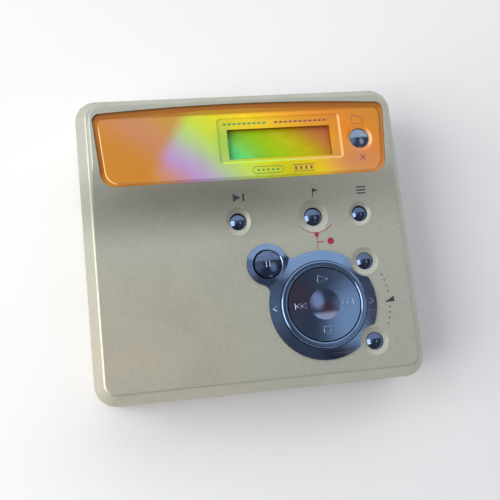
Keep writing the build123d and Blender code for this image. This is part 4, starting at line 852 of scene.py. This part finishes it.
class PLAYER_OT_controls(Dressing):
    """Give the bezel, ring, disc and keys their dark metallised finish"""
    bl_idname = "player.controls"
    bl_label = "Controls"

    def execute(self, context):
        props = context.scene.player_finish
        x, y = DIAL
        # Painted mauve reflection on the disc's left side and middle.
        disc_reflection_spots = (((x - 6.5, y + 2.5, 26), (7, 7, 5)), ((x + 0.5, y - 1.5, 26), (4.5, 3.5, 5)))
        # Painted shade on the bezel: its right side and bottom made darker.
        side = (((x + 13, y - 3, 26), (6.5, 13, 5)), ((x + 4, y - 12.5, 26), (9, 4, 5)))
        dress(metallised("bezel_blue", props.control, props.painted_bezel_shade, side), "dial_bezel")
        dress(metallised("ring_blue", props.control), "jog_ring")
        dress(metallised("disc_blue", props.control, props.painted_disc_reflection, disc_reflection_spots), "four_way_disc")
        dress(metallised("pause_blue", props.key), "pause_button")
        dress(metallised("group_violet", props.group_key), "group_button")
        small = ("end_button", "mark_button", "menu_button", "volume_up_button", "volume_down_button")
        dress(metallised("button_blue", props.key), *small)
        return {"FINISHED"}


class PLAYER_OT_display(Dressing):
    """Tint the display lens, its backing foil and the liquid crystal panel"""
    bl_idname = "player.display"
    bl_label = "Display"

    def execute(self, context):
        dress(lens_finish(context.scene.player_finish), "display_lens")
        dress(backing_finish(), "display_backing")
        dress(display_finish(), "display_module")
        return {"FINISHED"}


class PLAYER_OT_mechanism(Dressing):
    """Finish the deck, the disc holder, the spindle, the sled and the magnetic head"""
    bl_idname = "player.mechanism"
    bl_label = "Mechanism"

    def execute(self, context):
        steel = (196, 198, 200)
        dark = (150, 152, 156)
        alloy_grain = (4, 4, 4)
        lengthwise = (30, 1, 30)
        dress(metal("deck_steel", steel, dark, 0.3, 0.42), "mechanism_deck")
        dress(metal("holder_steel", (206, 207, 206), dark, 0.24, 0.36, lengthwise), "disc_holder")
        dress(metal("rotor_steel", steel, dark, 0.2, 0.3), "spindle_rotor")
        dress(metal("arm_steel", steel, dark, 0.2, 0.3, lengthwise), "head_arm")
        dress(metal("motor_can", (178, 180, 184), dark, 0.2, 0.3), "sled_motor")
        alloy = metal("sled_alloy", (170, 171, 172), (132, 133, 136), 0.4, 0.5, alloy_grain, 700)
        dress(alloy, "optical_sled")
        dress(metal("pinion_brass", (220, 182, 96), (176, 134, 60)), "motor_pinion")
        dress(coil_finish("coil_copper"), "spindle_stator")
        dress(plastic("turntable_plastic", (60, 61, 64), (44, 45, 48)), "turntable")
        dress(plastic("lens_holder_plastic", (42, 43, 46), (28, 29, 32)), "lens_holder")
        dress(plastic("head_plastic", (52, 50, 50), (34, 33, 34)), "magnetic_head")
        dress(plastic("gear_plastic", (230, 228, 218), (206, 203, 190)), "screw_gear")
        dress(plastic("tilt_plastic", (222, 221, 214), (196, 195, 188)), "tilt_plate", "tilt_post")
        dress(objective_finish("objective_glass"), "objective_lens")
        return {"FINISHED"}


class PLAYER_OT_electrics(Dressing):
    """Finish the boards, chips, sockets, key domes and battery contacts"""
    bl_idname = "player.electrics"
    bl_label = "Electrics"

    def execute(self, context):
        dress(board_finish("board_green"), "main_board", "key_board")
        dress(plastic("chip_black", (46, 47, 50), (30, 31, 33), 0.3, 0.4), "board_chips")
        jacks = plastic("jack_plastic", (40, 42, 46), (24, 25, 28), 0.28, 0.4)
        dress(jacks, "line_jack", "phones_jack")
        dress(plastic("supply_plastic", (206, 168, 40), (176, 138, 24), 0.3, 0.4), "supply_socket")
        dress(metal("usb_steel", (204, 205, 206), (166, 168, 172), 0.2, 0.3), "usb_socket")
        dress(plastic("tray_plastic", (58, 60, 62), (42, 43, 46)), "battery_tray")
        dress(metal("spring_steel", (206, 206, 208), (160, 161, 165), 0.18, 0.28), "battery_spring")
        dress(metal("contact_plate", (214, 205, 170), (182, 172, 134)), "door_contact")
        dress(metal("dome_steel", (214, 213, 206), (176, 174, 166), 0.18, 0.28), "key_domes")
        return {"FINISHED"}


class PLAYER_OT_fasteners(Dressing):
    """Finish the screws, pins, rods, lead screw and rubber feet"""
    bl_idname = "player.fasteners"
    bl_label = "Fasteners"

    def execute(self, context):
        upright = (9, 9, 1)
        screws = metal("screw_steel", (150, 151, 154), (104, 105, 108), 0.26, 0.36, upright, 900)
        dress(screws, "case_screws", "deck_screws", "lid_screws")
        pins = metal("pin_steel", (204, 205, 207), (164, 166, 170), 0.16, 0.26)
        dress(pins, "hinge_pins", "guide_rods", "arm_pin", "door_pin", "lead_screw", "strap_bar")
        feet = plastic("feet_rubber", (58, 58, 58), (38, 38, 38), 0.7, 0.85, 3000.0, 0.05)
        dress(feet, "rubber_feet")
        return {"FINISHED"}


class PLAYER_OT_face_marks(Dressing):
    """Print the small signs above the three keys and the wedge of the volume scale"""
    bl_idname = "player.face_marks"
    bl_label = "Face marks"

    def execute(self, context):
        sizes = context.scene.player_marks
        printed = on_face(context, print_finish("print_dark", context.scene.player_finish.print_dark))
        end = Mark(*printed)
        end.arrow(-3.3, KEY_SIGN_Y, 1.9)
        end.bar(-1.5, KEY_SIGN_Y, 0.45, 1.9)
        end.lay("sign_end")
        flag = Mark(*printed)
        pole = 15.95
        flag.line([(pole, 8.6), (pole, 10.7)], sizes.line)
        flag.patch([(pole, 10.75), (17.4, 10.25), (pole, 9.75)])
        flag.lay("sign_mark")
        menu = Mark(*printed)
        for step in (-1, 0, 1):
            menu.bar(28.5, KEY_SIGN_Y + 0.75 * step, 2.4, 0.3)
        menu.lay("sign_menu")
        wedge = Mark(*printed)
        wedge.patch([(31.2, -18.9), (33.7, -18.9), (33.7, -17.5)])
        wedge.lay("sign_volume")
        return {"FINISHED"}


class PLAYER_OT_volume_scale(Dressing):
    """Print the row of dots that curves between the two volume keys"""
    bl_idname = "player.volume_scale"
    bl_label = "Volume scale"

    def execute(self, context):
        dots = Mark(*on_face(context, bpy.data.materials["print_dark"]))
        for angle in (21.5, 16.5, 11.5, 6.6, -6.4, -11.1, -15.9, -20.9):
            x, y = turned((SCALE_RADIUS, 0), angle, DIAL)
            dots.dot(x, y, context.scene.player_marks.dot / MM)
        dots.lay("volume_scale")
        return {"FINISHED"}


class PLAYER_OT_record_bracket(Dressing):
    """Print the crimson bracket from the mark key to the dial, with its record dot"""
    bl_idname = "player.record_bracket"
    bl_label = "Record bracket"

    def execute(self, context):
        sizes = context.scene.player_marks
        ink = print_finish("print_red", context.scene.player_finish.print_red)
        bracket = Mark(*on_face(context, ink))
        x = MARK_KEY_X
        bracket.line(arc((x, 5.2), 5.45, 222, 318, 16), sizes.fine_line)
        bracket.line([(x, -0.72), (x - 0.09, -4.62)], sizes.fine_line)
        bracket.patch([(x - 0.7, -0.42), (x, -1.75), (x + 0.7, -0.42), (x, -0.3)])
        bracket.line([(x + 0.05, -2.62), (x + 1.65, -2.66)], sizes.line)
        bracket.dot(x + 3.35, -2.6, 0.85, 28)
        bracket.lay("record_bracket")
        return {"FINISHED"}


class PLAYER_OT_dial_marks(Dressing):
    """Raise the play, skip and stop signs on the disc, and the arrows on the bezel"""
    bl_idname = "player.dial_marks"
    bl_label = "Dial marks"

    def execute(self, context):
        sizes = context.scene.player_marks
        # The signs really stand up; their paler metal is a painted highlight for the glints on their
        # edges.
        bright = metallised("sign_pale_glint", seen(150, 168, 200))
        width = sizes.line
        crown = crowned(DIAL, DISC_EDGE_LEVEL + DISC_CROWN, DISC_BALL)
        on_disc = (sizes.raised, crown, bright, "four_way_disc", "disc_blue")
        x, y = DIAL
        play = Mark(*on_disc)
        play.line([(x - 1.2, y + 5.2), (x + 1.5, y + 6.1), (x - 0.9, y + 7.1)], width, closed=True)
        play.lay("sign_play")
        for side, label in ((1, "forward"), (-1, "back")):
            skip = Mark(*on_disc)
            for step in (0, 1):
                tip = x + side * (5.75 + 1.25 * step)
                back = tip - side * 1.15
                skip.line([(back, y - 0.65), (tip, y), (back, y + 0.65)], width, closed=True)
            edge = x + side * 7.25
            skip.line([(edge, y - 0.7), (edge, y + 0.7)], width)
            skip.lay("sign_skip_" + label)
        stop = Mark(*on_disc)
        stop.line(oblong(x - 0.05, y - 6.3, 1.6, 1.7), width, closed=True)
        stop.lay("sign_stop")
        for side, label in ((-1, "left"), (1, "right")):
            turn = Mark(sizes.raised, bezel_surface, bright, "lid", "bezel_blue")
            tip = x + side * 12.6
            back = tip - side * 1.0
            turn.line([(back, y - 0.75), (tip, y - 0.1), (back, y + 0.6)], width)
            turn.lay("sign_turn_" + label)
        cap = crowned(PAUSE, PAUSE_TOP_LEVEL, PAUSE_BALL)
        pause = Mark(sizes.raised, cap, bright, "pause_button", "pause_blue")
        for side in (-1, 1):
            place = PAUSE[0] + 0.42 * side
            pause.line([(place, PAUSE[1] - 0.75), (place, PAUSE[1] + 0.75)], width)
        pause.lay("sign_pause")
        return {"FINISHED"}


class PLAYER_OT_lens_marks(Dressing):
    """Print the folder, the cross and the plain outlines on the display lens"""
    bl_idname = "player.lens_marks"
    bl_label = "Lens marks"

    def execute(self, context):
        sizes = context.scene.player_marks
        plum = print_finish("print_plum", seen(120, 62, 76))
        green = print_finish("print_green", seen(30, 136, 84))

        def on_lens(ink, level=LENS_LEVEL):
            return Mark(sizes.thickness, flat(level), ink, "lid", "lens_tint")

        folder = on_lens(plum)
        shape = [(27.9, 26.5), (30.7, 26.5), (30.7, 28.2), (29.4, 28.2), (29.0, 28.6), (27.9, 28.6)]
        folder.line(shape, sizes.fine_line, closed=True)
        folder.lay("sign_group")
        cross = on_lens(plum)
        cross.line([(28.9, 16.95), (30.3, 18.35)], sizes.line)
        cross.line([(28.9, 18.35), (30.3, 16.95)], sizes.line)
        cross.lay("sign_cancel")
        pill = on_lens(green)
        left = arc((2.2, OUTLINE_Y), 0.85, 90, 270, 8)
        right = arc((8.2, OUTLINE_Y), 0.85, 270, 450, 8)
        pill.line(left + right, sizes.fine_line, closed=True)
        for step in range(5):
            pill.dot(2.8 + 1.2 * step, OUTLINE_Y, 0.28)
        pill.lay("plain_pill")
        lines = on_lens(plum)
        for level in (OUTLINE_Y + 0.85, OUTLINE_Y - 0.85):
            lines.bar(14.2, level, 5.4, 0.16)
        for step in range(4):
            lines.bar(12.2 + 1.3 * step, OUTLINE_Y, 0.5, 0.9)
        lines.lay("plain_lines")
        for name, ink, start, count in (("left", green, -4.6, 9), ("right", plum, 8.4, 11)):
            ticks = on_lens(ink, FRAME_FLOOR)
            for step in range(count):
                ticks.bar(start + 1.25 * step, 27.95, 0.8, 0.42)
            ticks.lay("plain_ticks_" + name)
        return {"FINISHED"}


class PLAYER_OT_wall_marks(Dressing):
    """Print the small signs above the sockets and the sliders, and the cell on its door"""
    bl_idname = "player.wall_marks"
    bl_label = "Wall marks"

    def execute(self, context):
        sizes = context.scene.player_marks
        width = sizes.line
        ink = bpy.data.materials["print_dark"]

        def on_wall(body="case"):
            return Mark(sizes.thickness, flat(0.0), ink, body, "case_paint")

        phones = on_wall()
        phones.line(arc((0, 0), 1.2, 0, 180, 14), width)
        for ear in (-1.2, 1.2):
            phones.bar(ear, -0.45, 0.6, 1.1)
        phones.lay("sign_phones", wall("left", PHONES_Y))
        line_in = on_wall()
        line_in.line(arc((0.5, 0), 1.2, -130, 130, 16), width)
        line_in.line([(-2.2, 0), (-0.2, 0)], width)
        line_in.arrow(0.1, 0, 1.0)
        line_in.lay("sign_line_in", wall("left", LINE_Y))
        cell = on_wall("battery_door")
        cell.line(oblong(-0.2, 0, 8.0, 2.6), width, closed=True)
        cell.bar(4.3, 0, 0.5, 1.1)
        cell.plus(2.2, 0, 1.3, 0.3)
        cell.bar(-2.6, 0, 1.3, 0.3)
        cell.lay("sign_cell", wall("left", CELL_Y, SIGN_LEVEL - 4))
        opening = on_wall()
        opening.line([(-1.9, 0), (1.9, 0)], width)
        opening.arrow(-1.9, 0, 1.2, 180)
        opening.lay("sign_open", wall("right", OPEN_Y, SIGN_LEVEL + 1))
        supply = on_wall()
        supply.dot(0, 0, 0.42)
        supply.line(arc((0, 0), 1.05, 40, 320, 18), width)
        supply.bar(-2.9, 0, 1.1, 0.28)
        supply.line([(-2.1, 0), (-1.15, 0)], sizes.lead_line)
        supply.line([(0.4, 0), (1.9, 0)], sizes.lead_line)
        supply.plus(2.7, 0, 1.1, 0.28)
        supply.lay("sign_supply", wall("right", SUPPLY_Y))
        port = on_wall()
        port.line(oblong(0, 0, 3.0, 1.4), width, closed=True)
        port.line([(1.5, 0), (3.0, 0)], width)
        port.bar(0, 0, 1.4, 0.3)
        port.lay("sign_port", wall("right", PORT_Y, SIGN_LEVEL - 2))
        lock = on_wall()
        lock.bar(-2.4, -0.35, 1.7, 1.2)
        lock.line(arc((-2.4, 0.3), 0.55, 0, 180, 12), width)
        lock.line([(-0.6, 0), (1.6, 0)], width)
        lock.arrow(1.9, 0, 1.2)
        lock.lay("sign_hold", wall("front", HOLD_X, SIGN_LEVEL + 1))
        return {"FINISHED"}


class PLAYER_OT_stage(Dressing):
    """Lay the pale floor, light it softly and set the camera at the photograph's angle"""
    bl_idname = "player.stage"
    bl_label = "Stage"

    def execute(self, context):
        studio = context.scene.player_studio
        lay_floor(studio)
        light_world(context.scene)
        hang_lamp(studio)
        set_camera(context.scene, studio)
        context.scene.view_settings.view_transform = "Standard"
        return {"FINISHED"}


def lay_floor(studio):
    """A wide pale floor with a faint tooth, and painted shade making it a little darker away from the
    window.
    """
    made = Finish("floor_pale", studio.floor, Specular_IOR_Level=0.2)
    made.lay(studio.floor_painted_shade, made.spot(*FLOOR_SHADE_PATCH))
    tooth = made.use("moulded", Scale=900.0)
    made.lay(seen(180, 178, 176), made.ranged(tooth["Tone"], 0.3, 0.7, 0.0, 0.025))
    made.smears(0.6, 0.7, 30.0)
    sheet = bmesh.new()
    bmesh.ops.create_grid(sheet, x_segments=1, y_segments=1, size=3.0)
    floor = to_object("floor", sheet, made.done())


def light_world(scene):
    """A room: pale low walls, a window along the rear, three soft panels in a dim ceiling."""
    world = bpy.data.worlds.new("room")
    scene.world = world
    world.use_nodes = True
    room = Graph(world.node_tree)
    room.where = room.add("ShaderNodeTexCoord").outputs["Generated"]
    axes = room.axes()
    colour = (0.17, 0.16, 0.18)
    # Each panel's centre, reach and light, by the direction that it is seen in.
    panels = (
        ((-0.42, 0.12, 0.0), (0.60, 0.60, 9.0), (0.52, 0.55, 0.62)),
        ((0.44, -0.02, 0.0), (0.30, 0.40, 9.0), (0.84, 0.92, 1.04)),
        ((0.30, -0.50, 0.0), (0.15, 0.15, 9.0), (0.95, 0.62, 0.60)),
    )
    for centre, reach, light in panels:
        colour = room.mixed(room.ranged(room.spot(centre, reach, unit=1), 0.0, 0.8), colour, light)
    window = room.ranged(axes["Y"], 0.27, 0.40)
    colour = room.mixed(window, colour, (1.16, 1.21, 1.28))
    low = room.ranged(axes["Z"], 0.50, 0.14)
    colour = room.mixed(low, colour, (1.06, 1.055, 1.04))
    horizon = room.ranged(axes["Z"], 0.07, 0.0)
    colour = room.mixed(horizon, colour, (0.70, 0.70, 0.71))
    room.fill(room.tree.nodes["Background"].inputs["Color"], colour)


def hang_lamp(studio):
    """One large soft lamp to the left."""
    lamp = bpy.data.lights.new("soft_lamp", "AREA")
    lamp.shape = "SQUARE"
    lamp.size = 0.75
    lamp.energy = studio.lamp_power
    lamp.color = (1.0, 0.99, 0.97)
    holder = bpy.data.objects.new("soft_lamp", lamp)
    holder.location = (-0.74, -0.04, 0.60)
    holder.rotation_mode = "QUATERNION"
    holder.rotation_quaternion = (-holder.location).to_track_quat("-Z", "Y")
    bpy.context.scene.collection.objects.link(holder)


def set_camera(scene, studio):
    """The photograph's camera: above the front left, turned a little."""
    place = Vector((-36.323, -37.909, 221.343)) * MM
    aim = Vector((-1.021, -3.369, 25.4)) * MM
    roll = radians(40.433)
    camera = bpy.data.cameras.new("camera")
    camera.lens = studio.focal_length
    camera.sensor_width = 36.0
    camera.clip_start = 0.01
    holder = bpy.data.objects.new("camera", camera)
    holder.rotation_mode = "QUATERNION"
    turn = (aim - place).to_track_quat("-Z", "Y")
    holder.rotation_quaternion = turn @ Quaternion((0, 0, 1), roll)
    holder.location = place
    scene.collection.objects.link(holder)
    scene.camera = holder


class PLAYER_PT_sidebar(bpy.types.Panel):
    """The player's pieces in the 3D view's sidebar"""
    bl_label = "Disc player"
    bl_idname = "PLAYER_PT_sidebar"
    bl_space_type = "VIEW_3D"
    bl_region_type = "UI"
    bl_category = "Player"

    def draw(self, context):
        for operator in OPERATORS:
            self.layout.operator(operator.bl_idname)
        for settings, group in SETTINGS.items():
            for name in group.__annotations__:
                self.layout.prop(getattr(context.scene, settings), name)


OPERATORS = (
    PLAYER_OT_paint,
    PLAYER_OT_controls,
    PLAYER_OT_display,
    PLAYER_OT_mechanism,
    PLAYER_OT_electrics,
    PLAYER_OT_fasteners,
    PLAYER_OT_face_marks,
    PLAYER_OT_volume_scale,
    PLAYER_OT_record_bracket,
    PLAYER_OT_dial_marks,
    PLAYER_OT_lens_marks,
    PLAYER_OT_wall_marks,
    PLAYER_OT_stage,
)
CLASSES = (*SETTINGS.values(), *OPERATORS, PLAYER_PT_sidebar)


def register():
    for cls in CLASSES:
        bpy.utils.register_class(cls)
    for name, group in SETTINGS.items():
        setattr(bpy.types.Scene, name, PointerProperty(type=group))


def unregister():
    for name in SETTINGS:
        delattr(bpy.types.Scene, name)
    for cls in reversed(CLASSES):
        bpy.utils.unregister_class(cls)


def main():
    """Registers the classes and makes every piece."""
    register()
    for operator in OPERATORS:
        family, name = operator.bl_idname.split(".")
        getattr(getattr(bpy.ops, family), name)()


if __name__ == "__main__":
    main()
